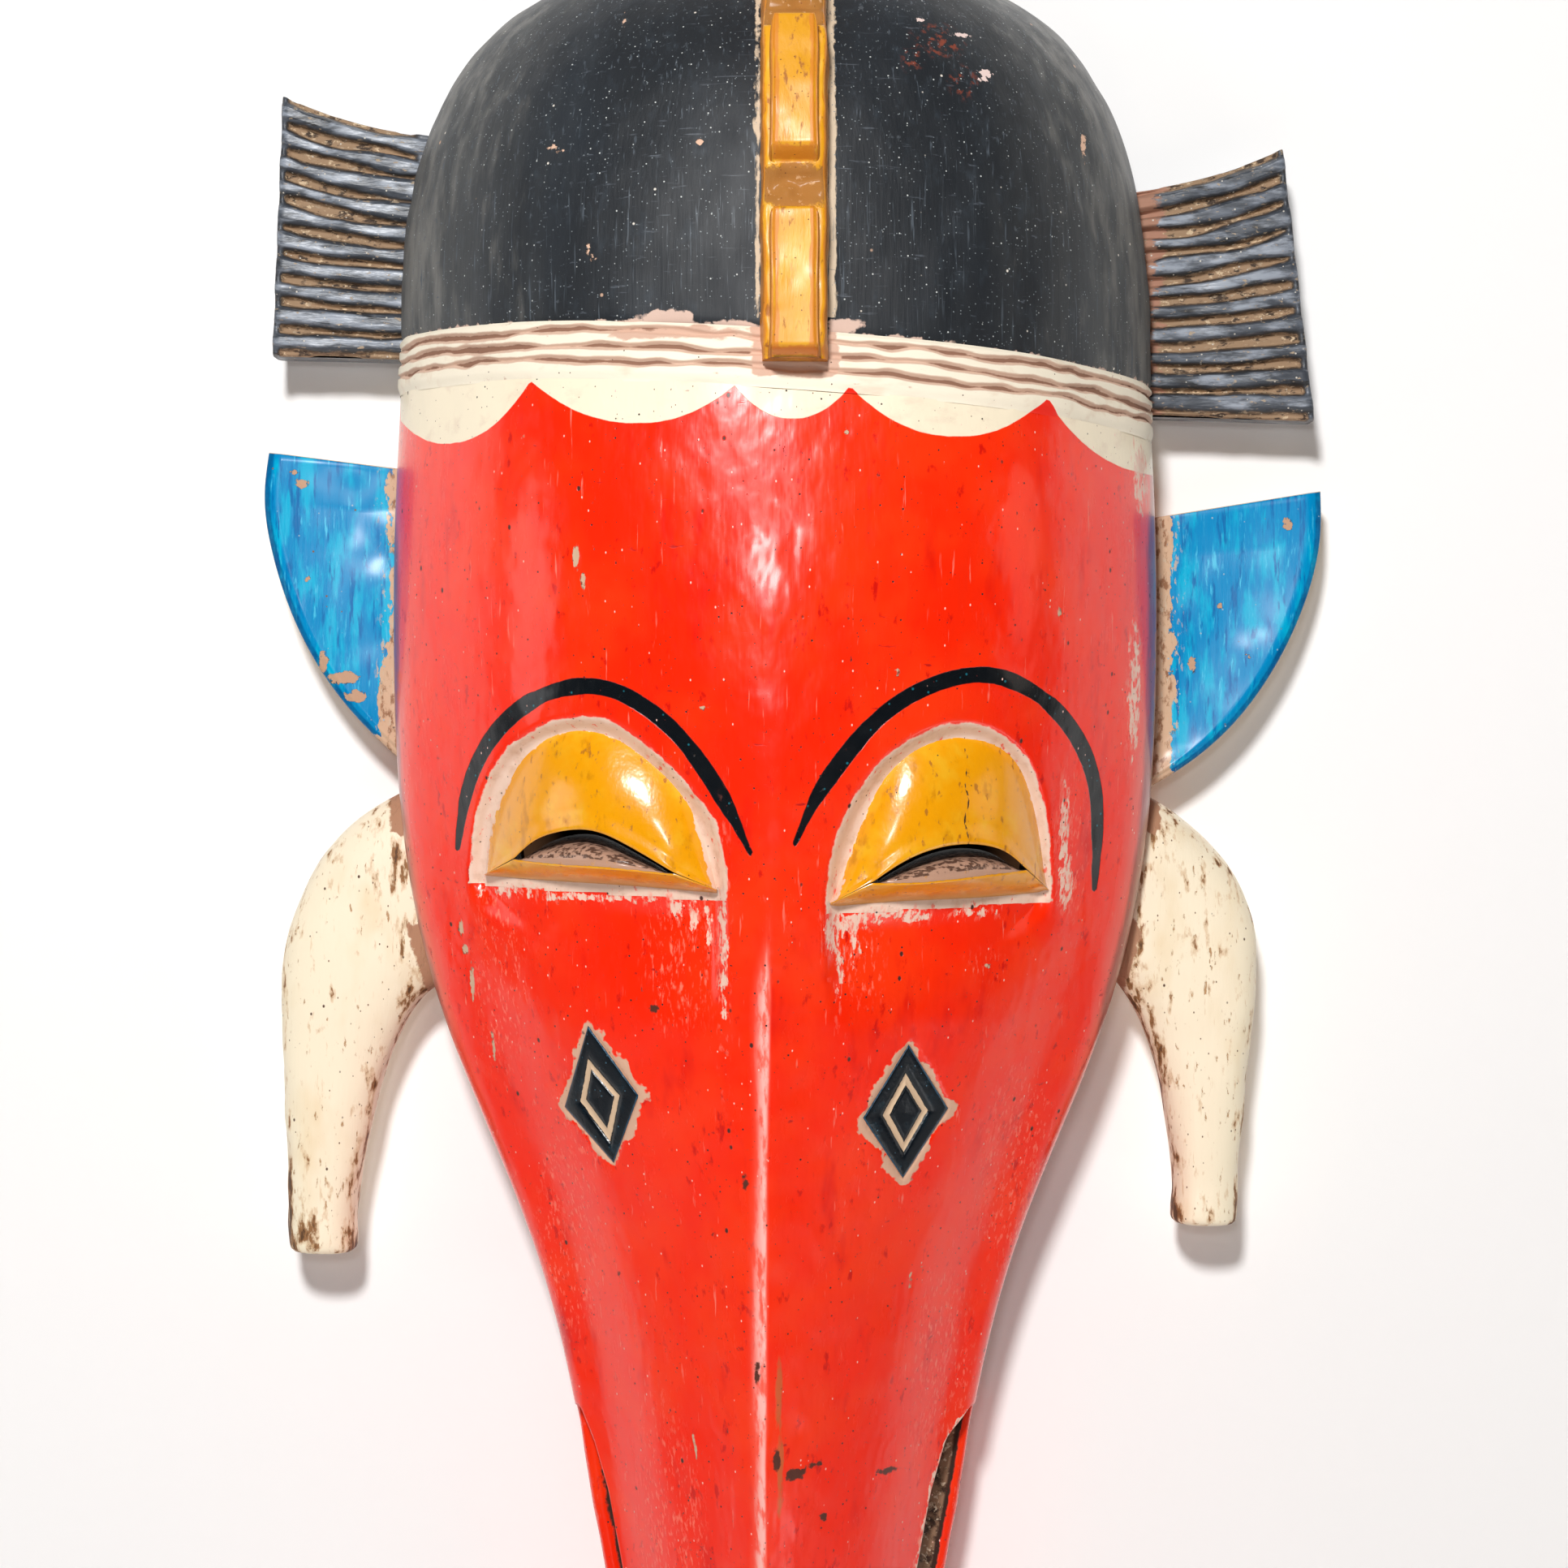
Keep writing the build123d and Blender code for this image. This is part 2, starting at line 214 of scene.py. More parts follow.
def shell_point(z, across, inset=0.0, apex=APEX_Z):
    """x and y of the shell at a height. From 1 to 2, across goes back along the side wall to the rim."""
    half, depth, roof = form(z, inset, apex)
    reach = np.abs(across)
    width, middle, evenly, ridged, slope = section_shares(np.clip(reach, 0, 1))
    x = np.sign(across) * half * width + RIDGE_X * roof * middle
    y = -depth * (evenly + (ridged - evenly) * roof) + RIDGE_SLOPE * roof * half * slope
    return x, y * (1 - np.clip(reach - 1, 0, 1))


class Front:
    def __init__(self, inset, apex):
        self.heights = np.arange(TIP_Z, CROWN_BASE_Z + 30, 1.0)
        self.shares = np.linspace(-1, 1, 241)
        x, y = shell_point(self.heights[:, None], np.linspace(-1, 1, 481)[None, :], inset, apex)
        self.half = x[:, -1]
        rows = zip(self.half, x, y)
        self.table = np.array([np.interp(self.shares * half, row_x, row_y) for half, row_x, row_y in rows])

    def y(self, x, z):
        level = np.clip(z - self.heights[0], 0, len(self.heights) - 1.001)
        share = np.clip(x / np.interp(z, self.heights, self.half), -1, 1)
        place = np.clip((share + 1) / 2 * (len(self.shares) - 1), 0, len(self.shares) - 1.001)
        i, j = level.astype(int), place.astype(int)
        u, v = level - i, place - j
        low = self.table[i, j] * (1 - v) + self.table[i, j + 1] * v
        return low * (1 - u) + (self.table[i + 1, j] * (1 - v) + self.table[i + 1, j + 1] * v) * u


OUTER = Front(0.0, APEX_Z)
INNER = Front(WALL, HOLLOW_APEX_Z)


# ---- Meshes ----

def grid_normals(points):
    """Unit normals of a grid of points, rows by columns."""
    along, across = np.gradient(points, axis=0), np.gradient(points, axis=1)
    normal = np.cross(across, along)
    return normal / np.maximum(np.linalg.norm(normal, axis=2, keepdims=True), 1e-9)


def away_from_axis(points):
    """Unit normals of a grid of points, turned away from the mask's upright axis."""
    normal = grid_normals(points)
    return -normal if faces_in(points) else normal


def faces_in(points):
    """Whether a grid's cells, as they are, face the mask's upright axis."""
    return (grid_normals(points) * points)[:, :, :2].sum() <= 0


def filled(parts, count):
    """One value for each point, from parts that each begin at a point's number."""
    values = np.zeros(count)
    for start, part in parts:
        values[start:start + len(part)] = part
    return values


class Carving:
    """One piece's mesh, gathered from grids of points in millimetres with named fields at each point."""

    def __init__(self, name):
        self.name = name
        self.points, self.faces, self.corners_uv = [], [], []
        self.fields = {}
        self.count = 0

    def add(self, points, fields, closed=False, keep=None, flip=False, spread=False):
        """Adds a grid, rows by columns. closed joins its last column to its first.

        keep says which cells stay, and spread gives the grid UVs over the whole texture.
        """
        rows, columns = points.shape[:2]
        index = self.count + np.arange(rows * columns).reshape(rows, columns)
        if closed:
            index = np.hstack([index, index[:, :1]])
        keep = np.ones((rows - 1, index.shape[1] - 1), bool) if keep is None else keep
        turn = -1 if flip else 1
        self.faces.append(corners_of(index)[:, :, ::turn][keep])
        if spread:
            u, v = np.meshgrid(np.linspace(0.01, 0.99, columns), np.linspace(0.99, 0.01, rows))
            self.corners_uv.append(np.stack([corners_of(u), corners_of(v)], axis=3)[:, :, ::turn][keep])
        self.points.append(points.reshape(-1, 3))
        for name, values in fields.items():
            values = np.broadcast_to(values, (rows, columns)).ravel()
            self.fields.setdefault(name, []).append((self.count, values))
        self.count += rows * columns

    def cap(self, ring, flip):
        """Closes a ring of points that are already in the mesh with a fan around their middle."""
        middle = self.count
        self.points.append(np.vstack(self.points)[ring].mean(axis=0)[None, :])
        fan = np.stack([ring, np.roll(ring, -1), np.full(len(ring), middle)], axis=1)
        self.faces.append(fan[:, ::-1] if flip else fan)
        for parts in self.fields.values():
            parts.append((middle, np.array([filled(parts, middle)[ring].mean()])))
        self.count += 1

    def finish(self, material, node):
        """Makes the object, which stands for the model's node and rides on the one body."""
        mesh = bpy.data.meshes.new(self.name)
        faces = [tuple(int(i) for i in face) for group in self.faces for face in group]
        mesh.from_pydata([tuple(p) for p in np.vstack(self.points) * MM], [], faces)
        for name, parts in self.fields.items():
            values = filled(parts, self.count).astype(np.float32)
            mesh.attributes.new(name, "FLOAT", "POINT").data.foreach_set("value", values)
        if self.corners_uv:
            layer = mesh.uv_layers.new(name="OFBake")
            layer.data.foreach_set("uv", np.vstack([part.reshape(-1, 2) for part in self.corners_uv]).ravel())
        mesh.polygons.foreach_set("use_smooth", [True] * len(mesh.polygons))
        mesh.materials.append(material)
        mesh.validate()
        piece = bpy.data.objects.new(self.name, mesh)
        bpy.context.scene.collection.objects.link(piece)
        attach(piece, "root")
        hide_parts(node)


def corners_of(grid):
    """The values at the four corners of each cell of a grid."""
    return np.stack([grid[:-1, :-1], grid[1:, :-1], grid[1:, 1:], grid[:-1, 1:]], axis=2)


# ---- Finishes ----

EVEN = (1, 1, 1)


def linear(red, green, blue):
    """A colour in the 0 to 255 steps of a screen, as the shader takes it."""
    steps = (red, green, blue)
    return tuple(c / 3294.6 if c <= 10 else ((c / 255 + 0.055) / 1.055) ** 2.4 for c in steps) + (1.0,)


class Finish:
    """One material, built up as ragged layers of paint and wear. Sizes and heights are in millimetres."""

    def __init__(self, name, colour, rough):
        self.material = bpy.data.materials.new(name)
        self.material.use_nodes = True
        self.tree = self.material.node_tree
        self.tree.nodes.clear()
        self.place = self.tree.nodes.new("ShaderNodeTexCoord").outputs["Object"]
        self.colour, self.rough, self.height = linear(*colour), rough, 0.0

    def put(self, value, socket):
        if isinstance(value, bpy.types.NodeSocket):
            self.tree.links.new(value, socket)
        else:
            socket.default_value = value

    def math(self, operation, a, b=0.0):
        """The result of one sum, difference, product or comparison."""
        node = self.tree.nodes.new("ShaderNodeMath")
        node.operation = operation
        self.put(a, node.inputs[0])
        self.put(b, node.inputs[1])
        return node.outputs[0]

    def both(self, a, b):
        """The product, which is the overlap of two masks."""
        return self.math("MULTIPLY", a, b)

    def spot(self, stretch):
        """The place on the object, drawn out along the axes by the given factors."""
        if stretch == EVEN:
            return self.place
        node = self.tree.nodes.new("ShaderNodeVectorMath")
        node.operation = "MULTIPLY"
        self.put(self.place, node.inputs[0])
        node.inputs[1].default_value = [1 / s for s in stretch]
        return node.outputs[0]

    def noise(self, size, detail=2.0, stretch=EVEN, shift=0.0):
        """Unevenness around 0, mostly within a half either way."""
        node = self.tree.nodes.new("ShaderNodeTexNoise")
        node.noise_dimensions = "4D"
        self.put(self.spot(stretch), node.inputs["Vector"])
        node.inputs["W"].default_value = shift
        node.inputs["Scale"].default_value = 1 / (size * MM)
        node.inputs["Detail"].default_value = detail
        node.inputs["Roughness"].default_value = 0.6
        return self.math("SUBTRACT", node.outputs["Fac"], 0.5)

    def dots(self, size, radius, share, stretch=EVEN):
        """1 within small dots that stand in a share of the cells of the given size."""
        node = self.tree.nodes.new("ShaderNodeTexVoronoi")
        self.put(self.spot(stretch), node.inputs["Vector"])
        node.inputs["Scale"].default_value = 1 / (size * MM)
        near = self.step(node.outputs["Distance"], radius / size, 0.5 * radius / size)
        split = self.tree.nodes.new("ShaderNodeSeparateColor")
        self.put(node.outputs["Color"], split.inputs[0])
        return self.both(near, self.math("LESS_THAN", split.outputs[0], share))

    def field(self, name):
        node = self.tree.nodes.new("ShaderNodeAttribute")
        node.attribute_name = name
        return node.outputs["Fac"]

    def step(self, value, low, high):
        """Rises smoothly from 0 at low to 1 at high, which may be the smaller one."""
        node = self.tree.nodes.new("ShaderNodeMapRange")
        node.interpolation_type = "SMOOTHSTEP"
        self.put(value, node.inputs["Value"])
        node.inputs["From Min"].default_value = min(low, high)
        node.inputs["From Max"].default_value = max(low, high)
        node.inputs["To Min"].default_value = 0.0 if low < high else 1.0
        node.inputs["To Max"].default_value = 1.0 if low < high else 0.0
        return node.outputs["Result"]

    def patches(self, low, high, size, detail, stretch=EVEN, shift=0.0):
        """Blotches of the given size, 0 where the noise is under low and 1 where it is over high."""
        return self.step(self.noise(size, detail, stretch, shift), low, high)

    def ragged(self, value, rag, soft, size, shift=0.0, stretch=EVEN):
        """1 where a signed distance is positive, with an edge that strays by rag and is soft over soft."""
        edge = self.math("ADD", value, self.both(self.noise(size, 4.0, stretch, shift), 5 * rag))
        return self.step(edge, -soft, soft)

    def worn(self, name, *edge):
        """The inside of a stored field's outline, with a ragged edge."""
        return self.ragged(self.field(name), *edge)

    def blend(self, kind, mask, a, b):
        node = self.tree.nodes.new("ShaderNodeMix")
        node.data_type = kind
        first, result = (6, 2) if kind == "RGBA" else (2, 0)
        self.put(mask, node.inputs[0])
        self.put(a, node.inputs[first])
        self.put(b, node.inputs[first + 1])
        return node.outputs[result]

    def layer(self, mask, colour, rough=None, raised=None):
        """Covers what is there with another colour, and maybe another gloss or height, where mask is 1."""
        self.colour = self.blend("RGBA", mask, self.colour, linear(*colour))
        if rough is not None:
            self.rough = self.blend("FLOAT", mask, self.rough, rough)
        if raised is not None:
            self.relief(mask, raised)

    def relief(self, value, amount):
        """Raises the surface by an amount for each unit of value."""
        self.height = self.math("ADD", self.height, self.both(value, amount))

    def duller(self, value, amount):
        """Makes the surface rougher where value is positive and glossier where it is negative."""
        self.rough = self.math("ADD", self.rough, self.both(value, amount))

    def done(self, coat=0.0, coat_rough=0.3, specular=0.5):
        shader = self.tree.nodes.new("ShaderNodeBsdfPrincipled")
        output = self.tree.nodes.new("ShaderNodeOutputMaterial")
        bump = self.tree.nodes.new("ShaderNodeBump")
        bump.inputs["Distance"].default_value = MM
        bump.inputs["Strength"].default_value = 1.0
        self.put(self.height, bump.inputs["Height"])
        self.put(bump.outputs[0], shader.inputs["Normal"])
        self.put(self.colour, shader.inputs["Base Color"])
        self.put(self.rough, shader.inputs["Roughness"])
        shader.inputs["Coat Weight"].default_value = coat
        shader.inputs["Coat Roughness"].default_value = coat_rough
        shader.inputs["Specular IOR Level"].default_value = specular
        self.put(shader.outputs[0], output.inputs[0])
        return self.material


# How far noise is drawn out along x, y and z.
SHORT_GRAIN, GRAIN, LONG_GRAIN = (1, 1, 2), (1, 1, 3), (1, 1, 14)
CROSS_GRAIN, LONG_CROSS = (2, 1, 1), (3, 1, 1)
PINK_CREAM = (238, 206, 186)
DARK = (34, 26, 22)


def red_paint():
    """Red gloss paint on the face and beak, with cream scallops and rims, black brows, rubs and chips."""
    f = Finish("red_paint", (250, 37, 3), 0.26)
    f.layer(f.patches(-0.12, 0.2, 22, 3, shift=1), (253, 54, 12))
    f.layer(f.patches(0.06, 0.3, 7, 3, GRAIN, 2), (222, 18, 6))
    f.relief(f.noise(1.1, 2, LONG_GRAIN, 3), 0.03)
    f.relief(f.noise(7, 3, SHORT_GRAIN, 21), 0.30)
    f.duller(f.noise(4, 5, GRAIN, 4), 0.16)

    # Where the face turns into the side wall there is a painted pink sheen, then a painted darker strip of
    # shade, and worn bare wood on the turn itself. The side wall is a darker red, and the hidden back of the
    # beak is bare.
    turn = f.field("turn")
    sheen_near_turn = f.math("ADD", turn, f.both(f.noise(10, 3, (1, 1, 4), 5), 12))
    # Painted sheen, pink, near where the face turns.
    f.layer(f.step(sheen_near_turn, 7, 1), (240, 92, 78), 0.4)
    # Painted shade, a dark purplish strip, right along the turn.
    f.layer(f.ragged(f.math("SUBTRACT", 3.0, turn), 0.8, 0.8, 7, 6, (1, 1, 4)), (160, 50, 48), 0.34)
    on_turn = f.math("SUBTRACT", 0.5, f.math("ABSOLUTE", turn))
    f.layer(f.ragged(on_turn, 0.5, 0.3, 4, 7, GRAIN), (132, 92, 74), 0.75)
    f.layer(f.step(turn, -0.4, -0.9), (196, 24, 16), 0.36)
    rear = f.ragged(f.math("SUBTRACT", f.field("side"), 1.93), 0.03, 0.02, 6, 22)
    f.layer(f.both(f.step(turn, -0.4, -0.9), rear), (132, 92, 66), 0.8)

    # Fine scuffs and scratches, then the cream scallops and the black brows over them.
    scuff = f.step(f.field("scuff"), -1.0, 4.0)
    f.layer(f.both(scuff, f.patches(0.02, 0.20, 0.7, 5, GRAIN, 23)), (255, 122, 98), 0.36)
    f.layer(f.patches(0.15, 0.24, 0.9, 3, (1, 2, 16), 20), (252, 112, 92), 0.4, -0.02)
    f.layer(f.patches(0.17, 0.25, 0.9, 3, (12, 2, 2), 29), (190, 20, 10), 0.4, -0.02)
    f.layer(f.patches(0.10, 0.20, 2.4, 5, SHORT_GRAIN, 31), (210, 20, 8))
    f.layer(f.patches(0.17, 0.22, 1.2, 5, (1, 1, 1.6), 34), (120, 30, 16), 0.5, -0.04)
    scallop = f.worn("scallop", 0.10, 0.12, 4, 8)
    f.layer(scallop, (248, 234, 206), 0.5, 0.06)
    f.layer(f.both(scallop, f.patches(0.02, 0.2, 5, 5, CROSS_GRAIN, 32)), (238, 220, 194))
    f.layer(f.both(scallop, f.patches(0.17, 0.24, 1.4, 4, CROSS_GRAIN, 33)), (206, 176, 156), 0.7)
    f.layer(f.ragged(f.both(f.field("brow"), -1), 0.08, 0.10, 3, 9), (10, 15, 20), 0.26, 0.10)
    f.layer(f.both(f.step(f.field("brow"), 0.0, -0.3), f.dots(1.6, 0.34, 0.45)), (24, 104, 118), 0.3)

    # The pinkish ring round each eyelid, and the rubs under it.
    over_arch = f.ragged(f.math("SUBTRACT", f.field("arch"), 0.25), 0.5, 0.2, 4.5, 10)
    ring = f.both(over_arch, f.worn("rim", 0.8, 0.25, 3.4, 11))
    f.layer(ring, PINK_CREAM, 0.6, -0.04)
    f.layer(f.both(ring, f.patches(-0.05, 0.25, 3, 4, shift=12)), (216, 176, 150))
    f.layer(f.both(ring, f.patches(0.10, 0.18, 1.4, 4, SHORT_GRAIN, 24)), (238, 110, 92))
    broken = f.patches(-0.10, 0.03, 0.9, 4, (1, 1, 2.5), 25)
    rub = f.worn("rub", 0.75, 0.12, 1.8, 13, SHORT_GRAIN)
    f.layer(f.both(rub, broken), (240, 202, 182), 0.6, -0.05)
    round_rub = f.step(f.field("rub"), -1.6, 0.2)
    f.layer(f.both(round_rub, f.patches(0.04, 0.20, 1.2, 5, GRAIN, 14)), (246, 140, 120), 0.5)
    from_diamond = f.math("SUBTRACT", 0.9, f.field("diamond"))
    border = f.math("ADD", from_diamond, f.both(f.noise(7, 3, shift=35), 8))
    f.layer(f.ragged(border, 0.5, 0.20, 2.4, 15), (218, 172, 144), 0.7, -0.08)

    # A painted highlight along the beak's ridge, painted shade in the mouth's slit with cut wood beyond it,
    # then chips, smudges and specks.
    # Painted highlight along the ridge: a pale red sheen with a pinkish-white core.
    f.layer(f.worn("crest", 0.30, 1.2, 3, 26, (1, 1, 5)), (254, 96, 76), 0.16)
    ridge_highlight_core = f.ragged(f.math("SUBTRACT", f.field("crest"), 0.5), 0.25, 0.80, 2.5, 27, (1, 1, 6))
    f.layer(f.both(ridge_highlight_core, f.patches(-0.14, 0.06, 1.6, 4, (1, 1, 4), 30)), (255, 186, 176), 0.2)
    f.layer(f.worn("ridge", 0.4, 0.2, 2, 16, (1, 1, 4)), (206, 92, 44), 0.6, -0.05)
    # Painted shade, dark brown, along the lips' edges in the mouth's slit; on the right, rough cut wood and
    # splinters beyond it.
    f.layer(f.worn("cut", 0.25, 0.2, 2, 17), (52, 32, 22), 0.85)
    rough_cut = f.both(f.step(f.field("cut"), 0.8, 1.4), f.patches(-0.10, 0.06, 2.2, 5, shift=36))
    f.layer(rough_cut, (140, 108, 84), 0.85)
    splinters = f.both(f.step(f.field("cut"), 0.8, 1.2), f.patches(0.05, 0.14, 1.2, 4, shift=28))
    f.layer(splinters, (198, 176, 152))
    f.layer(f.worn("chip", 0.35, 0.08, 1.2, 18, SHORT_GRAIN), (206, 172, 142), 0.8, -0.18)
    f.layer(f.worn("smudge", 0.5, 0.2, 1.8, 19), (84, 40, 26), 0.6)
    f.layer(f.dots(2.3, 0.28, 0.34), DARK, 0.6, -0.04)
    f.layer(f.dots(1.1, 0.15, 0.34, (1, 1, 1.3)), (92, 20, 12), 0.6)
    f.layer(f.dots(1.7, 0.20, 0.26, (1, 1, 1.6)), (250, 200, 186), 0.6)
    f.layer(f.dots(5.0, 0.5, 0.22, (1, 1, 1.4)), (70, 34, 24), 0.6, -0.1)
    return f.done(coat=0.45, coat_rough=0.14, specular=0.3)


def black_paint():
    """Blue-black satin paint on the crown, full of pale specks and fine scratches, with a painted grey sheen
    towards its sides.
    """
    f = Finish("black_paint", (20, 25, 31), 0.58)
    f.layer(f.patches(-0.1, 0.25, 24, 3, SHORT_GRAIN, 1), (29, 36, 44))
    f.layer(f.patches(0.0, 0.3, 3, 5, SHORT_GRAIN, 12), (40, 48, 56))
    f.relief(f.noise(1.0, 3, (1, 1, 16), 2), 0.09)
    f.duller(f.noise(6, 4, GRAIN, 3), 0.25)
    side = f.field("side")
    # Painted sheen and painted streaks of reflection, grey, towards the crown's sides.
    sheen = f.math("ADD", side, f.both(f.noise(9, 5, (1, 1, 4), 4), 0.6))
    f.layer(f.both(f.step(sheen, 0.30, 1.05), 0.6), (88, 90, 90), 0.5)
    streaks = f.math("ADD", side, f.both(f.noise(5, 6, (1, 1, 4), 14), 1.4))
    on_turn = f.both(f.step(streaks, 0.60, 1.05), f.step(side, 1.0, 0.86))
    f.layer(f.both(on_turn, 0.75), (124, 122, 117), 0.5)
    f.layer(f.worn("keel", 0.5, 0.2, 1.6, 5, GRAIN), (206, 186, 160), 0.7)
    stain = f.both(f.step(f.field("stain"), 0, 2.5), f.patches(0.0, 0.14, 1.4, 5, shift=6))
    f.layer(stain, (132, 60, 40), 0.6)
    f.layer(f.patches(0.09, 0.22, 0.7, 3, (1, 2, 22), 7), (74, 82, 90), 0.5)
    f.layer(f.patches(0.12, 0.24, 0.7, 3, (22, 2, 1), 11), (74, 80, 88), 0.5)
    f.layer(f.dots(1.0, 0.17, 0.75), (128, 136, 140), 0.6)
    f.layer(f.dots(1.9, 0.22, 0.45), (196, 200, 198), 0.6)
    f.layer(f.dots(4.2, 0.36, 0.30), (226, 218, 206), 0.6)
    f.layer(f.dots(9.0, 0.55, 0.20), (196, 160, 136), 0.7)
    f.layer(f.patches(0.15, 0.22, 2.2, 6, (1, 1, 1.4), 13), (70, 76, 82), 0.5)
    f.layer(f.worn("chip", 0.35, 0.08, 1.1, 8), (224, 184, 158), 0.8, -0.15)
    f.layer(f.worn("pale", 0.45, 0.08, 1.1, 9), (240, 214, 206), 0.7, 0.05)
    f.layer(f.worn("foot", 0.9, 0.2, 2.4, 10, (2, 1, 2)), (214, 184, 168), 0.75)
    return f.done(specular=0.45)


def cream_band_paint():
    """Cream paint on the brow band, worn to pinkish wood in its incised lines and round the keel's foot."""
    f = Finish("band_paint", (247, 236, 214), 0.55)
    f.relief(f.noise(1.4, 3, (6, 1, 1), 1), 0.10)
    f.layer(f.patches(0.04, 0.2, 6, 4, LONG_CROSS, 2), (236, 218, 194))
    f.layer(f.patches(0.14, 0.22, 1.6, 4, LONG_CROSS, 7), (214, 186, 164), 0.7)
    f.layer(f.worn("groove", 0.14, 0.15, 3.0, 3, (4, 1, 1)), (216, 184, 162), 0.75)
    bed = f.math("SUBTRACT", f.field("groove"), 0.62)
    f.layer(f.ragged(bed, 0.14, 0.12, 2.0, 4, (4, 1, 1)), (142, 104, 84), 0.85)
    f.layer(f.worn("foot", 0.9, 0.3, 3.0, 5, CROSS_GRAIN), (214, 176, 154), 0.8)
    f.layer(f.ragged(f.both(f.field("scallop"), -1), 0.10, 0.12, 4, 8), (246, 34, 8), 0.3)
    f.layer(f.dots(2.2, 0.20, 0.35), (96, 66, 48), 0.7)
    return f.done(specular=0.4)


def ochre_paint():
    """Ochre paint on the crest, thin on the arrises and scorched in the notches, with painted shade in a
    darker ochre on the flanks.
    """
    f = Finish("ochre_paint", (224, 156, 20), 0.42)
    f.layer(f.patches(-0.05, 0.25, 9, 3, SHORT_GRAIN, 1), (236, 178, 44))
    f.layer(f.patches(0.06, 0.22, 4, 4, GRAIN, 2), (200, 128, 14))
    f.layer(f.patches(0.07, 0.16, 1.6, 5, GRAIN, 10), (170, 102, 16), 0.6)
    f.relief(f.noise(0.9, 3, (1, 1, 6), 3), 0.10)
    f.duller(f.noise(3, 4, shift=4), 0.3)
    # Painted shade: the flanks of the keel and blocks in a darker ochre.
    f.layer(f.worn("flank", 0.3, 0.3, 3, 5, GRAIN), (190, 118, 24), 0.55)
    f.layer(f.worn("arris", 0.35, 0.15, 2, 6, GRAIN), (214, 132, 26), 0.5)
    f.layer(f.worn("seam", 0.4, 0.15, 1.5, 7, GRAIN), (214, 184, 146), 0.75)
    f.layer(f.worn("notch", 0.5, 0.3, 1.6, 8), (168, 112, 46), 0.85, -0.15)
    scraped = f.both(f.step(f.field("notch"), 0, 0.4), f.patches(0.1, 0.2, 1.2, 3, shift=9))
    f.layer(scraped, (206, 160, 112))
    f.layer(f.dots(2.0, 0.20, 0.16), (96, 58, 24), 0.7)
    f.layer(f.dots(1.3, 0.18, 0.3), (120, 70, 20), 0.7)
    return f.done(coat=0.1, coat_rough=0.2)


def lid_paint():
    """Ochre eyelids with a ragged cream edge, a cream line under them, a darker ochre of painted shade on the
    slope under them, painted shade deep in the slit, and bare wood in the slit.
    """
    f = Finish("lid_paint", (238, 158, 4), 0.24)
    f.layer(f.patches(-0.05, 0.25, 8, 3, shift=1), (238, 176, 34))
    f.layer(f.patches(0.05, 0.2, 3.5, 5, SHORT_GRAIN, 2), (208, 134, 6))
    f.layer(f.patches(0.10, 0.17, 1.4, 5, SHORT_GRAIN, 10), (182, 112, 8), 0.5)
    f.relief(f.noise(1.0, 3, (1, 1, 4), 3), 0.04)
    f.relief(f.noise(5, 3, shift=11), 0.2)
    f.duller(f.noise(3, 4, shift=4), 0.16)
    # Painted shade: a darker ochre on the slope under the lid.
    f.layer(f.worn("under", 0.25, 0.3, 2.5, 5), (214, 140, 14), 0.45)
    f.layer(f.worn("edge", 0.9, 0.12, 3.4, 6), (240, 206, 184), 0.6)
    f.layer(f.worn("floor", 0.25, 0.15, 1.5, 7), (186, 144, 120), 0.85, -0.2)
    pits = f.both(f.step(f.field("floor"), 0.2, 0.6), f.patches(-0.02, 0.08, 0.9, 5, CROSS_GRAIN, 8))
    f.layer(pits, (98, 66, 50), 0.9, -0.2)
    # Painted shade, nearly black, deep in the slit.
    f.layer(f.step(f.field("deep"), 0.05, 0.45), (22, 15, 12), 0.9)
    f.layer(f.worn("crack", 0.10, 0.06, 1.0, 9), (60, 36, 14), 0.8, -0.3)
    f.layer(f.dots(2.2, 0.20, 0.22), (60, 40, 20), 0.7)
    return f.done(coat=0.6, coat_rough=0.14, specular=0.35)


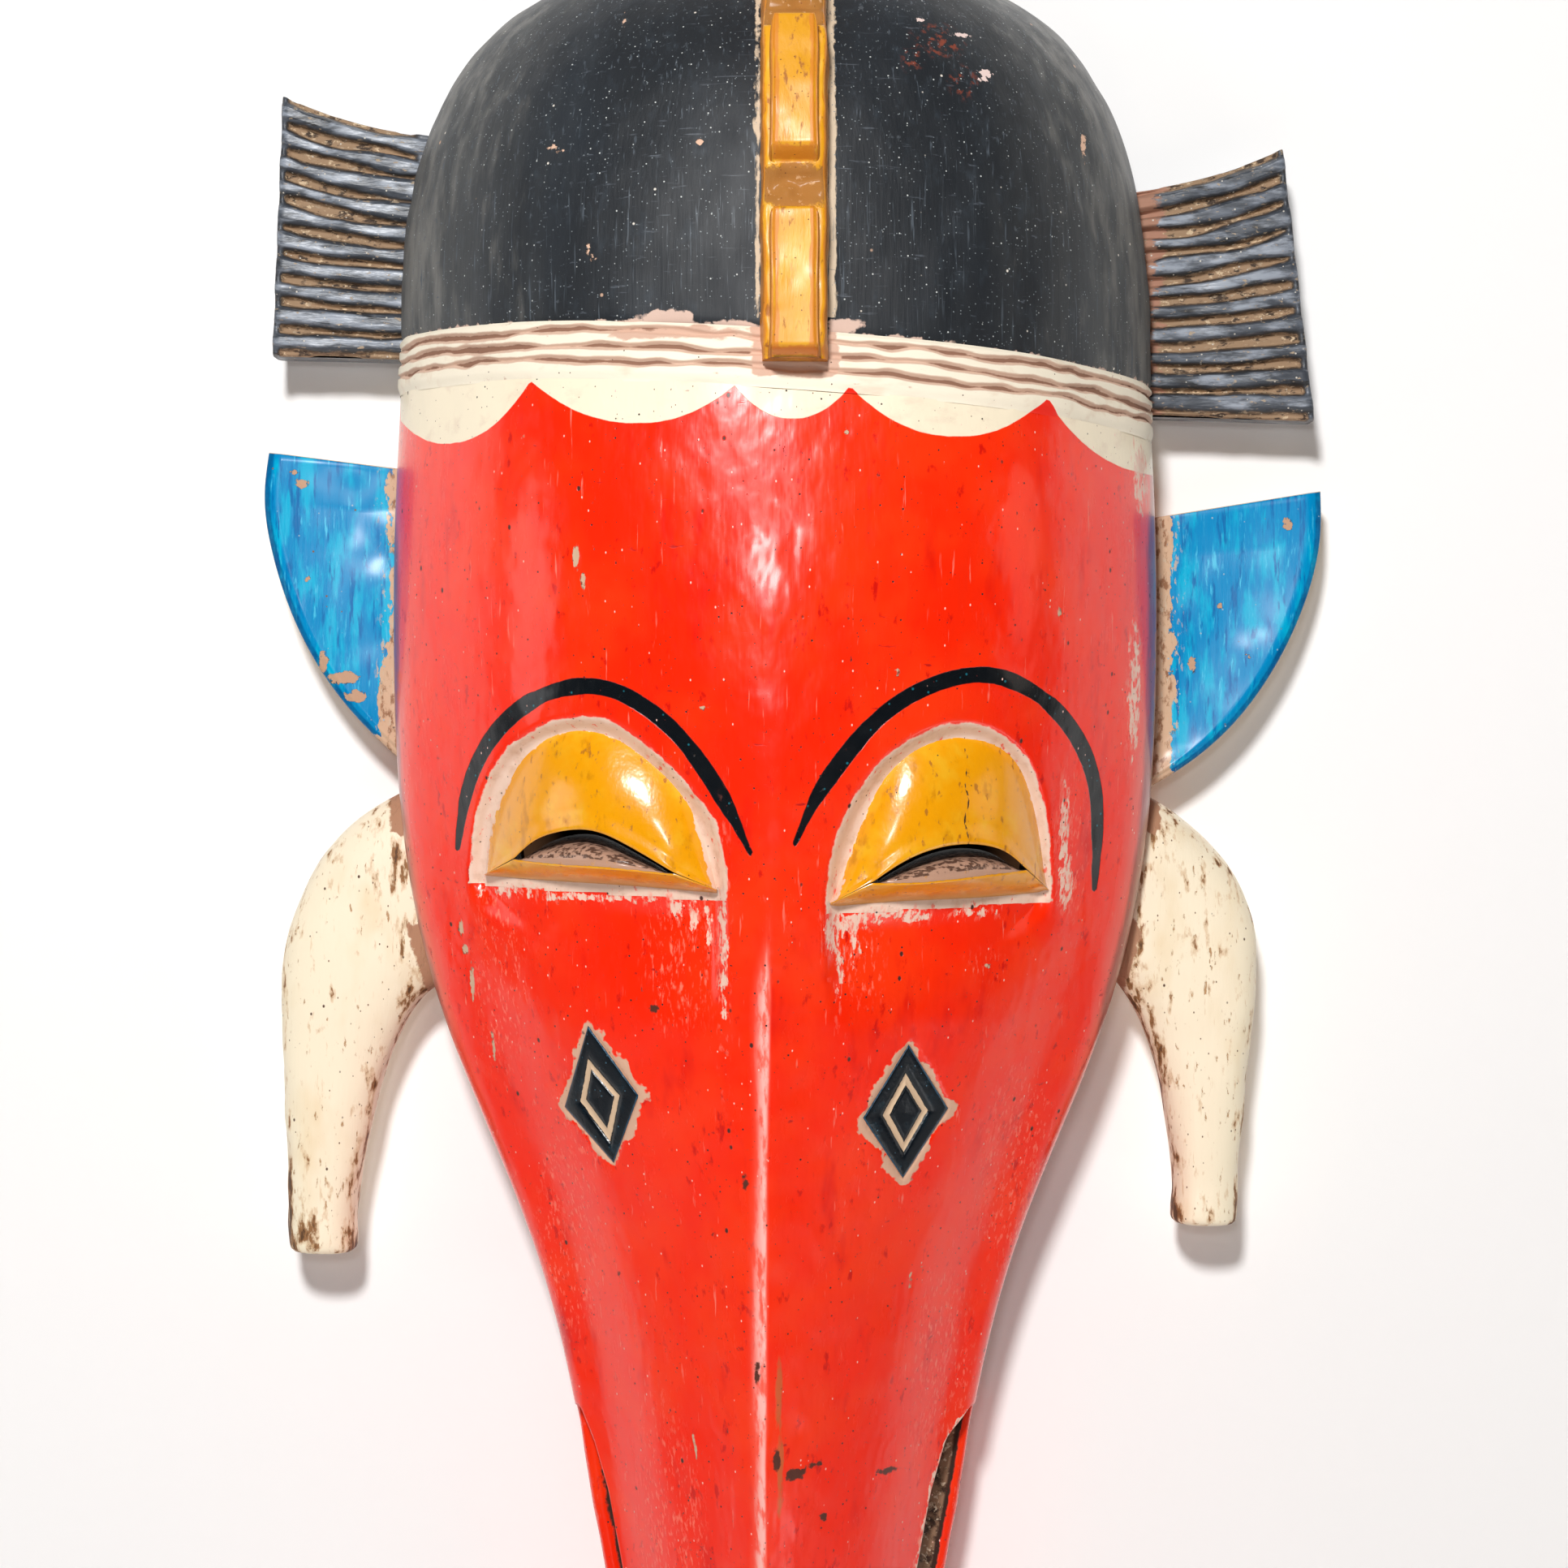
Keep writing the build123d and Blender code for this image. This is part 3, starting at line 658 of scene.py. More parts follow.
def comb_paint():
    """Charcoal ridges with a painted bluish highlight on their tops, darker along their flanks, over tan
    cuts.
    """
    f = Finish("comb_paint", (62, 67, 75), 0.40)
    f.layer(f.patches(-0.05, 0.2, 4, 4, LONG_CROSS, 1), (110, 117, 128))
    f.layer(f.patches(0.05, 0.16, 1.6, 4, (5, 1, 1), 9), (40, 40, 42))
    f.layer(f.patches(0.14, 0.22, 1.1, 4, (6, 1, 1), 11), (150, 144, 134))
    f.relief(f.noise(1.0, 3, (6, 1, 1), 2), 0.2)
    f.duller(f.noise(3, 3, (4, 1, 1), 3), 0.3)
    groove = f.field("groove")
    crest = f.step(groove, -0.25, -0.52)
    # Painted highlight, a pale blue-grey, on the ridges' tops.
    f.layer(f.both(crest, f.patches(-0.04, 0.14, 2.4, 5, (4, 1, 1), 13)), (150, 157, 168), 0.34)
    # Darker along the ridges' flanks where they drop into the cuts.
    f.layer(f.ragged(f.math("ADD", groove, 0.20), 0.20, 0.26, 1.8, 8, LONG_CROSS), (40, 37, 35), 0.6)
    f.layer(f.ragged(groove, 0.22, 0.24, 1.6, 4, LONG_CROSS), (100, 80, 62), 0.85)
    bed = f.math("SUBTRACT", groove, 0.12)
    f.layer(f.ragged(bed, 0.34, 0.22, 1.2, 5, CROSS_GRAIN), (158, 130, 102), 0.85)
    low = f.step(groove, -0.15, 0.25)
    f.layer(f.both(low, f.patches(0.03, 0.12, 1.3, 5, CROSS_GRAIN, 10)), (70, 56, 46))
    f.layer(f.both(low, f.patches(0.06, 0.13, 0.9, 4, (1.6, 1, 1), 14)), (206, 182, 150))
    f.layer(f.worn("bare", 2.2, 0.6, 1.8, 6, CROSS_GRAIN), (168, 124, 102), 0.8)
    f.layer(f.dots(1.5, 0.26, 0.35), (206, 200, 188), 0.7)
    f.layer(f.patches(0.09, 0.17, 1.0, 5, CROSS_GRAIN, 12), (170, 150, 126), 0.7)
    f.layer(f.worn("red", 0.6, 0.1, 1.1, 7), (190, 40, 30), 0.5)
    return f.done()


def blue_paint():
    """Brushed blue on the ears, worn to wood beside the face and chipped along the edge; its palest streaks
    are partly a painted highlight, and a thin darker blue along the outer edge is painted shade.
    """
    f = Finish("blue_paint", (0, 138, 196), 0.36)
    f.layer(f.patches(-0.03, 0.10, 4, 5, (1, 1, 5), 1), (0, 174, 214))
    f.layer(f.patches(0.03, 0.14, 1.6, 4, (1, 1, 8), 2), (0, 108, 172))
    # The palest streaks are partly brushwork and partly a painted highlight.
    f.layer(f.patches(0.08, 0.2, 0.9, 4, (1, 1, 9), 11), (70, 190, 226))
    f.relief(f.noise(0.9, 3, LONG_GRAIN, 3), 0.06)
    f.duller(f.noise(2.4, 4, (1, 1, 7), 4), 0.24)
    # Painted shade: a thin darker blue along the outer edge, where it rounds away.
    f.layer(f.worn("rim", 0.2, 0.4, 3, 5), (0, 78, 132), 0.4)
    f.layer(f.worn("back", 0.3, 0.2, 2.4, 6), (206, 186, 156), 0.75)
    f.layer(f.worn("bare", 1.6, 0.15, 2.6, 7, SHORT_GRAIN), (208, 174, 144), 0.8, -0.10)
    bare = f.field("bare")
    f.layer(f.both(f.step(bare, 0, 1), f.patches(0.0, 0.12, 1.3, 5, SHORT_GRAIN, 12)), (150, 108, 80), 0.85)
    flakes = f.patches(0.06, 0.13, 1.0, 5, (1, 1, 2.5), 8)
    f.layer(f.both(f.step(bare, -4, 0), flakes), (204, 180, 154), 0.7)
    f.layer(f.worn("chip", 0.5, 0.08, 1.5, 9), (194, 156, 128), 0.8, -0.15)
    # Pale specks: partly dust and partly painted glints.
    f.layer(f.dots(2.4, 0.26, 0.3), (150, 180, 196), 0.6)
    f.layer(f.dots(3.0, 0.32, 0.2), (120, 96, 80), 0.6)
    return f.done(coat=0.1, coat_rough=0.16, specular=0.1)


def horn_paint():
    """Cream paint on the horns, with brown spots and streaks that run down them."""
    f = Finish("horn_paint", (248, 234, 206), 0.5)
    f.layer(f.patches(0.0, 0.3, 12, 3, SHORT_GRAIN, 1), (238, 216, 178))
    f.relief(f.noise(1.0, 3, (1, 1, 10), 2), 0.08)
    f.duller(f.noise(5, 3, shift=3), 0.2)
    f.layer(f.patches(0.12, 0.18, 1.1, 5, GRAIN, 4), (186, 146, 104), 0.75, -0.06)
    f.layer(f.patches(0.12, 0.24, 0.8, 3, (1, 1, 9), 9), (226, 198, 160), 0.7)
    streaks = f.math("ADD", f.field("worn"), f.both(f.noise(2.6, 6, (1, 1, 2.6), 5), 5.0))
    f.layer(f.both(f.step(streaks, 0.35, 0.75), 0.55), (206, 164, 116), 0.7)
    f.layer(f.step(streaks, 0.72, 0.95), (150, 106, 66), 0.8, -0.08)
    f.layer(f.step(streaks, 1.02, 1.25), (92, 62, 38), 0.8)
    f.layer(f.worn("seam", 0.7, 0.3, 2.0, 6), (176, 130, 100), 0.8)
    f.layer(f.dots(1.6, 0.20, 0.5, (1, 1, 1.5)), (112, 76, 46), 0.7)
    f.layer(f.dots(3.4, 0.36, 0.3, (1, 1, 1.3)), (84, 54, 34), 0.7)
    return f.done(coat=0.1, specular=0.4)


def diamond_paint():
    """Blue-black inlay with a tan ring cut into it and a worn tan border."""
    f = Finish("diamond_paint", (10, 17, 24), 0.22)
    f.layer(f.patches(0.0, 0.3, 3, 3, shift=1), (24, 44, 54))
    f.relief(f.noise(0.8, 3, shift=2), 0.08)
    f.layer(f.worn("bevel", 0.3, 0.3, 2.0, 3), (14, 66, 92), 0.22)
    f.layer(f.dots(1.3, 0.2, 0.4), (70, 110, 130), 0.4)
    f.layer(f.worn("ring", 0.26, 0.10, 1.4, 4), (214, 184, 152), 0.8)
    f.layer(f.worn("edge", 0.25, 0.12, 1.3, 5), (198, 158, 130), 0.75)
    return f.done(specular=0.4)


def inner_wood():
    """Bare, darkened wood inside the mask, with grain."""
    f = Finish("inner_wood", (116, 80, 52), 0.75)
    f.layer(f.patches(-0.1, 0.3, 18, 4, GRAIN, 1), (86, 56, 36))
    f.layer(f.patches(0.02, 0.3, 1.6, 4, (1, 1, 18), 2), (146, 106, 72))
    f.relief(f.noise(1.0, 3, LONG_GRAIN, 3), 0.16)
    f.layer(f.patches(0.2, 0.4, 7, 3, shift=4), (52, 34, 24))
    f.layer(f.worn("rim", 0.8, 0.3, 3.0, 5), (150, 112, 80), 0.7)
    f.layer(f.dots(3.0, 0.3, 0.25), (40, 26, 18), 0.8)
    return f.done(specular=0.3)


# ---- Places on the face, seen from the front as x and z ----

# Paths run from the outer side to the inner one.

ARCHES = {
    "left": ((-64.6, -186), (-62.4, -173), (-57.5, -162.5), (-49.5, -156), (-41, -153.6), (-33, -154.6),
             (-26, -158.8), (-19.4, -165), (-13.2, -172.6), (-10, -181), (-9.3, -190), (-9.5, -200),
             (-9.9, -216)),
    "right": ((58.2, -191), (57.6, -181), (56, -171.5), (52.6, -162.8), (47.3, -157.4), (40.5, -154.9),
              (33, -155.5), (26, -158.8), (20, -164), (15, -171.5), (11.8, -179.5), (10, -190), (10.4, -203),
              (11.6, -214)),
}
LIDS = {
    "left": ((-60.9, -186.3), (-59.3, -174.5), (-55.4, -165.8), (-48.6, -158), (-38.5, -155.2),
             (-27.5, -159.6), (-20.2, -165.6), (-15.0, -175.5), (-11.6, -188.6)),
    "right": ((57.3, -189.4), (56.0, -178.7), (53.3, -167.8), (48.8, -159.6), (40.6, -156.8), (29.0, -158.4),
              (20.4, -167.8), (15.0, -181), (11.3, -191.3)),
}
SLIT_TOPS = {
    "left": ((-53.8, -182.6), (-49.3, -178.9), (-43.7, -176.9), (-37.1, -176.6), (-29.6, -179.6),
             (-20.0, -185.2)),
    "right": ((52.0, -184.8), (46.7, -180.8), (42.3, -179.6), (34.7, -179.8), (27.2, -182.3), (19.8, -187.0)),
}
SLIT_LOWS = {
    "left": ((-53.8, -182.8), (-43.8, -183.6), (-36.7, -183.9), (-27.5, -184.6), (-20.0, -185.4)),
    "right": ((52.0, -185.0), (41.3, -186.0), (30.4, -187.0), (19.8, -187.2)),
}
LID_FEET = {
    "left": ((-60.9, -186.6), (-44, -187.4), (-28, -188.2), (-11.6, -189.4)),
    "right": ((57.3, -189.8), (41, -190.8), (27, -191.2), (11.3, -192.2)),
}
BROWS = {
    "left": ((-66.9, -180.8), (-64.8, -170.4), (-61.0, -161.4), (-54.5, -153.8), (-47.7, -149.5),
             (-40.0, -147.6), (-33.6, -148.1), (-27.3, -151.0), (-20.4, -156.4), (-14.2, -164.0),
             (-8.6, -173.4), (-4.8, -181.2)),
    "right": ((67.7, -189.6), (68.1, -176.4), (66.9, -166.2), (63.4, -158.4), (57.5, -151.6), (50.1, -147.0),
              (43.0, -145.2), (35.4, -146.2), (28.0, -149.2), (20.7, -154.4), (13.9, -162.1), (7.9, -171.1),
              (4.2, -179.3)),
}
BROW_HALF_WIDTH = 1.6
RECESS = 3.6  # depth of the eye sockets under the face
LID_SWELL = 7.0  # how far the lids stand out of the sockets
# Outlines of the diamonds from the middle outwards, each as its top, right, bottom and left corner.
DIAMONDS = {
    "left": (((-37.2, -230.0), (-35.4, -232.3), (-36.4, -235.0), (-37.9, -232.8)),
             ((-38.0, -227.0), (-33.4, -232.2), (-35.0, -238.6), (-39.2, -233.1)),
             ((-38.9, -224.0), (-31.9, -231.8), (-34.2, -242.4), (-40.9, -233.8)),
             ((-38.6, -216.9), (-27.8, -231.6), (-33.6, -246.7), (-44.4, -235.3))),
    "right": (((27.2, -231.5), (29.2, -235.2), (26.6, -238.6), (24.8, -235.0)),
              ((27.0, -229.6), (30.2, -235.0), (26.8, -241.0), (23.9, -235.4)),
              ((27.0, -226.4), (32.0, -235.0), (26.7, -244.0), (22.0, -235.4)),
              ((27.6, -220.4), (36.4, -234.8), (26.6, -249.4), (17.9, -235.8))),
}
# Half widths of the upper beak below the mouth's top. The right lip is cut back further.
LIP_HEIGHTS = (-421, -400, -372, -338, -320, -309, -302)
LIP_HALF_WIDTHS = (8.0, 15.2, 25.0, 32.8, 36.0, 39.2, 42.2)
RIGHT_LIP_CUT = 2.4
# Scallops: cream arcs that hang between these points, each with its drop.
SCALLOP_PEAKS = ((-125.0, -84), (-84.5, -84), (-49.6, -85.2), (-7.9, -87.8), (15.1, -87.8), (55.5, -88.4),
                 (96.0, -92.0), (140, -92))
SCALLOP_DROPS = (8.5, 11.6, 8.4, 6.6, 9.3, 10.6, 9)
# Worn places as x, z, half width, half height.
CHIPS = ((-40.0, -121.5, 0.7, 2.6), (-38.4, -126.5, 0.4, 2.0), (-66.6, -198.0, 0.5, 1.6),
         (-65.8, -202.5, 0.8, 1.0), (-64.4, -209.5, 0.5, 3.4), (-60.0, -223.0, 0.3, 3.0),
         (31.0, -268.5, 1.0, 0.4), (28.5, -272.0, 0.3, 1.6), (-51.2, -98.0, 0.3, 1.6),
         (-14.2, -152.0, 0.9, 0.4), (58.5, -132.0, 0.5, 0.9), (14.6, -97.0, 0.5, 0.5),
         (-17.6, -304.5, 0.25, 2.0), (44.0, -205.0, 0.6, 0.4), (24.5, -145.0, 0.7, 0.6),
         (-52.0, -160.0, 0.3, 1.2))
SMUDGES = ((0.8, -306.5, 0.8, 2.2), (5.6, -309.8, 2.6, 1.2), (10.0, -308.5, 1.6, 0.5),
           (28.0, -312.5, 2.6, 0.8), (13.2, -319.8, 1.0, 1.0), (-6.0, -248.5, 0.8, 1.2),
           (-24.6, -213.2, 1.1, 0.9), (-3.6, -288.0, 0.5, 2.0))
RUBS = ((78.0, -102.0, 1.8, 7.0), (76.5, -148.0, 1.4, 12.0), (-10.3, -201.0, 0.8, 13.0),
        (-13.2, -197.5, 0.6, 6.0), (-16.5, -193.0, 0.9, 3.2), (-20.0, -193.0, 1.2, 2.0),
        (12.4, -197.0, 2.2, 5.0), (17.0, -195.0, 4.2, 1.5), (13.4, -204.0, 0.9, 7.0),
        (16.4, -199.0, 0.8, 4.0), (60.4, -177.0, 1.0, 6.5), (61.2, -187.5, 1.4, 5.0),
        (29.0, -194.6, 3.0, 0.9), (40.0, -193.8, 4.0, 0.7), (-36.0, -190.6, 14.0, 0.6),
        (-54.0, -189.4, 5.0, 0.8), (24.0, -193.6, 5.0, 1.1))
SCUFFS = ((-19.0, -203.0, 9.0, 17.0), (18.5, -204.0, 5.0, 13.0), (-58.0, -208.0, 7.0, 26.0),
          (44.0, -205.0, 6.0, 4.0), (62.0, -182.0, 5.0, 20.0), (-24.0, -340.0, 9.0, 50.0),
          (-44.0, -262.0, 8.0, 30.0), (52.0, -250.0, 10.0, 26.0), (36.0, -290.0, 8.0, 22.0))
RIDGE_RUBS = ((0.9, -293.0, 0.6, 9.0), (1.1, -307.0, 0.7, 10.0))
CROWN_CHIPS = ((-45.6, -37.2, 1.3, 0.5), (-43.6, -38.6, 0.8, 0.4), (-37.4, -59.4, 0.4, 1.1),
               (-36.4, -61.2, 0.7, 0.5), (64.8, -33.0, 0.5, 2.6), (-31.0, -10.0, 0.3, 1.6),
               (-15.0, -38.4, 0.7, 0.7), (-2.6, -73.0, 0.5, 0.5))
CROWN_PALES = ((38.0, -13.0, 2.6, 0.5), (43.2, -21.4, 1.6, 0.9), (29.6, -10.6, 0.8, 0.4),
               (42.4, -23.0, 1.2, 0.4))
CROWN_STAINS = ((33.5, -15.0, 7.0, 5.0), (38.5, -24.0, 4.0, 5.0), (28.0, -20.0, 3.0, 4.0))
KEEL_X = 4.0
FOOT_RUBS = ((-22.0, -74.5, 5.0, 2.0), (-9.0, -76.0, 5.0, 1.2), (14, -75.5, 4, 1.2))
BAND_RUBS = ((-22.0, -77.0, 12.0, 1.3),)
LOWER_BEAK_CHIPS = ((-12, -330, 1.0, 4), (-5, -372, 1.4, 3), (-20, -392, 0.8, 4))


def spot_edges(x, z, places):
    """Signed distance to the nearest of some oval places, positive inside."""
    best = np.full(np.shape(x), -FAR)
    for at_x, at_z, half_x, half_z in places:
        share = 1 - np.hypot((x - at_x) / half_x, (z - at_z) / half_z)
        best = np.maximum(best, share * min(half_x, half_z))
    return best


def band_z(x, z):
    """Height of a level of the tilted brow band."""
    return z - BAND_SLOPE * x


def tilt_face(x, z):
    """Brings the face's highest levels to the band's tilted lower edge."""
    return z + band_z(x, 0.0) * ramp(z, -116, -88)


def shell_columns(front, wall):
    """Coordinates across the shell, from rim to rim: the front is -1 to 1, and the side walls are beyond."""
    side = np.linspace(2, 1, wall, endpoint=False)
    return np.r_[-side, np.linspace(-1, 1, front), side[::-1]]


def sloped(heights, across, tilt, *inner_form):
    """x, y and z of a grid over the shell, with its rows' heights tilted by tilt(x, z)."""
    z = np.repeat(heights[:, None], len(across), axis=1)
    x, _ = shell_point(z, across, *inner_form)
    z = tilt(x, z)
    x, y = shell_point(z, across, *inner_form)
    return x, y, z


def soften_ridge(y, across, passes=9, reach=0.045):
    """Rounds the ridge by smoothing y across it."""
    share = 1 - ramp(np.abs(across), reach * 0.5, reach)
    for _ in range(passes):
        even = y.copy()
        even[:, 1:-1] = (y[:, :-2] + 2 * y[:, 1:-1] + y[:, 2:]) / 4
        y = y + (even - y) * share
    return y


# ---- The face and beaks ----

SILL_ENDS = (8.0, 66.0)  # distances from the middle of the ends of the line under an eyelid
LIP_SHARE = 0.9  # part of the columns' way across that lies on the upper beak's front


def lip_x(z, side):
    """Half width of the upper beak at a height below the mouth's top."""
    cut = RIGHT_LIP_CUT * ramp(-z, 302, 309) if side > 0 else 0.0
    return np.interp(z, LIP_HEIGHTS, LIP_HALF_WIDTHS) - cut


def socket_depth(x, z):
    """How far the face lies under its form round the eyes, and the distances that its paint needs."""
    depth = np.zeros(x.shape)
    arch_field, rim_field = np.full(x.shape, -FAR), np.full(x.shape, -FAR)
    for name, side in SIDES.items():
        arch = smooth_path(ARCHES[name], 90)
        region = np.vstack([arch, [(side * 16.0, -236.0), (side * 66.0, -222.0)]])
        near = (x * side > -5) & (z < -140) & (z > -245)
        gap, to_arch = np.full(x.shape, -99.0), np.full(x.shape, 99.0)
        gap[near] = depth_inside(x[near], z[near], region)
        to_arch[near], _ = path_distance(x[near], z[near], arch)
        sill = np.interp(side * x, SILL_ENDS, (LID_FEET[name][-1][1], LID_FEET[name][0][1]))
        width = 3.2 + 13 * ramp(sill - z, 0, 12) * ramp(np.abs(x), 24, 46)
        cut = RECESS * ramp(gap, -0.3, width) * ramp(z, -218, -188)
        sink = 1.4 * np.exp(-((np.abs(x) - 22) / 13) ** 2) * ramp(sill - z, 0, 6) * ramp(z, -222, -198)
        depth = np.maximum(depth, cut + sink * (gap > 0))
        signed = np.clip(np.where(gap > 0, to_arch, -to_arch), -FAR, FAR)
        arch_field = np.maximum(arch_field, np.where(gap > -FAR, signed, -FAR))
        over_sill = z - (sill - 1.4)
        rim_field = np.where(near & (gap > -4), np.where(over_sill > 0, FAR, over_sill), rim_field)
    return depth, arch_field, rim_field


def brow_distance(x, z):
    """Distance outside the painted brows, negative within them."""
    best = np.full(x.shape, FAR)
    near = (np.abs(x) < 76) & (z < -138) & (z > -196)
    for name in SIDES:
        gap, share = path_distance(x[near], z[near], smooth_path(BROWS[name], 70))
        taper = np.minimum(1, 0.35 + 5.0 * np.minimum(share, 1 - share))
        taper = taper + 0.10 * wander(share * 30, 0, 1.0, 5)
        best[near] = np.minimum(best[near], gap - BROW_HALF_WIDTH * taper)
    return best


def diamond_distance(x, z):
    """Distance outside the nearest cheek diamond, negative inside it."""
    best = np.full(x.shape, 9.0)
    near = (z < -208) & (z > -258)
    for name in SIDES:
        best[near] = np.minimum(best[near], -depth_inside(x[near], z[near], np.array(DIAMONDS[name][3])))
    return best


def scallop_height(x, y, z):
    """Height above the scallops' lower edge. Round the side wall the arcs run on along its depth."""
    around = np.where(np.abs(x) > 80, np.sign(x) * (np.abs(x) + np.maximum(0, y + 30)), x)
    edge = np.full(x.shape, -84.0)
    for (x0, z0), (x1, z1), drop in zip(SCALLOP_PEAKS[:-1], SCALLOP_PEAKS[1:], SCALLOP_DROPS):
        share = (around - x0) / (x1 - x0)
        hang = drop * (1 - np.abs(2 * share - 1) ** 2.2)
        edge = np.where((share >= 0) & (share <= 1), z0 + (z1 - z0) * share - hang, edge)
    return z - edge


def tip_heights(count):
    """Heights that close up towards the beak's tip."""
    return TIP_Z + 10 - 10 * np.sin(np.linspace(0, math.pi / 2, count))


def face_heights():
    """Heights of the face's rows, closest round the eyes and diamonds."""
    return np.r_[np.arange(-88, -146, -1.2), np.arange(-146, -219, -0.66), np.arange(-219, -301.5, -1.35),
                 MOUTH_TOP_Z, MOUTH_TOP_Z - 0.6, np.arange(-304, TIP_Z + 10.5, -1.4), tip_heights(9)]


def tip_share(z):
    """How much of a beak's section is left as its tip rounds off."""
    near = np.clip((TIP_Z + 7 - z) / 7, 0, 1)
    return np.sqrt(1 - 0.8 * near ** 2)


def turn_lips_in(x, y, heights, across, push, ridge_y):
    """Below the mouth's top the columns past the lip turn in and run along the back of the upper beak."""
    table = np.linspace(-1, 1, 401)
    for row in np.flatnonzero(heights < MOUTH_TOP_Z - 0.1):
        table_x, table_y = shell_point(np.full(table.shape, heights[row]), table)
        for side in SIDES.values():
            mine = np.sign(across) == side
            reach = np.abs(across[mine])
            out = np.flatnonzero(table * side >= 0)[::side]
            limit = np.interp(lip_x(heights[row], side), side * table_x[out], side * table[out])
            share = np.minimum(reach / LIP_SHARE, 1) * limit * side
            turn = np.clip((reach - LIP_SHARE) / (1 - LIP_SHARE), 0, 1)
            lip = np.interp(share, table, table_x) * (1 - 0.05 * turn) - side * 0.9 * ramp(turn, 0.0, 0.25)
            x[row, mine] = lip * (1 - np.clip(reach - 1, 0, 1))
            front = np.interp(share, table, table_y)
            back = (MOUTH_FRONT_Y - front) * turn
            y[row, mine] = front + back + np.where(reach < LIP_SHARE, push[row, mine], 0)
        left = tip_share(heights[row])
        middle = (MOUTH_FRONT_Y + ridge_y[row]) / 2
        x[row] *= left
        y[row] = middle + (y[row] - middle) * left
    x[-1], y[-1] = 0.0, y[-1].mean()


def under_eyelids(x, z, front):
    """Which points of the face an eyelid hides."""
    hidden = np.zeros(z.shape, bool)
    near = front & (z < -150) & (z > -196)
    for name in SIDES:
        outline = np.vstack([smooth_path(LIDS[name], 60), smooth_path(LID_FEET[name], 20)[::-1]])
        hidden[near] |= depth_inside(x[near], z[near], outline) > 1.4
    return hidden


def make_face(paint):
    """The red face and upper beak: one skin from rim to rim, with sockets, diamond pockets and lips."""
    across = shell_columns(286, 9)
    front = np.abs(across) < 1
    x, y, z = sloped(face_heights(), across, tilt_face)
    y = soften_ridge(y, across)
    ridge_x, ridge_y = x[:, len(across) // 2, None], y[:, len(across) // 2]

    # Distances that the paint and the wear follow.
    depth, arch, rim = socket_depth(x, z)
    diamond = diamond_distance(x, z)
    marks = (CHIPS, SMUDGES, RUBS, SCUFFS)
    chip, smudge, rub, scuff = (np.where(front, spot_edges(x, z, places), -FAR) for places in marks)
    # How near a point is to where the face turns into its side wall, for the painted sheen and painted shade
    # there.
    wider = np.where(x < 0, 1.4, 0.0) + 6 * ramp(-z, 205, 250) + 2 * ramp(z, -120, -100)
    to_turn = np.where(front, form(z)[0] - np.abs(x) + wider, -1.0)
    # Where the painted highlight along the beak's ridge lies: soft on the left, sharp at the ridge, and none
    # up by the eyes.
    from_ridge = x - ridge_x + 0.5
    slope = np.where(from_ridge < 0, 0.7, 2.2)
    crest = 1.2 + 0.5 * wander(z, 0, 22, 11) - slope * np.abs(from_ridge) - 3.0 * ramp(z, -212, -186)

    # The sockets and pockets are cut, and the carver's unevenness and the chips are pushed in.
    uneven = 0.28 * wander(x, z, 13, 1) + 0.10 * wander(x, z, 4.5, 2) + 0.05 * wander(x * 2, z, 2.0, 3)
    push = -uneven + 0.35 * ramp(chip, -0.2, 0.6)
    y = y + depth * front + 1.6 * ramp(-diamond, -0.1, 0.9) + push * front
    x = x - np.sign(across) * ~front * push * (np.abs(across) < 1.95)
    turn_lips_in(x, y, z[:, 0], across, push, ridge_y)

    mouth = z[:, :1] < MOUTH_TOP_Z - 0.1
    # In the mouth, how far past the lip the slit's side runs; the paint puts painted shade there.
    cut = np.where(mouth, (np.abs(across) - 0.93) * 60, -FAR)
    worn_lip = np.where(mouth & (across > 0), 0.4 - np.abs(across - 0.895) * 30, -FAR)
    fields = {
        "scallop": scallop_height(x, y, z),
        "brow": brow_distance(x, z),
        "arch": arch,
        "rim": rim,
        "diamond": diamond,
        "chip": chip,
        "smudge": smudge,
        "rub": np.maximum(rub, worn_lip),
        "scuff": scuff,
        "turn": np.where(mouth, FAR, to_turn),
        "crest": np.where(front, crest, -FAR),
        "ridge": spot_edges(x, z, RIDGE_RUBS),
        "side": np.where(mouth, np.minimum(np.abs(across), 0.9) * 1.05, np.abs(across)),
        "cut": np.where(x < 0, np.minimum(cut, 0.7), cut),
    }
    hidden = corners_of(under_eyelids(x, z, front)).all(axis=2)
    grid = np.stack([x, y, z], axis=2)
    carving = Carving("face")
    carving.add(grid, fields, keep=~hidden, flip=faces_in(grid), spread=True)
    carving.finish(paint, "face_shell")


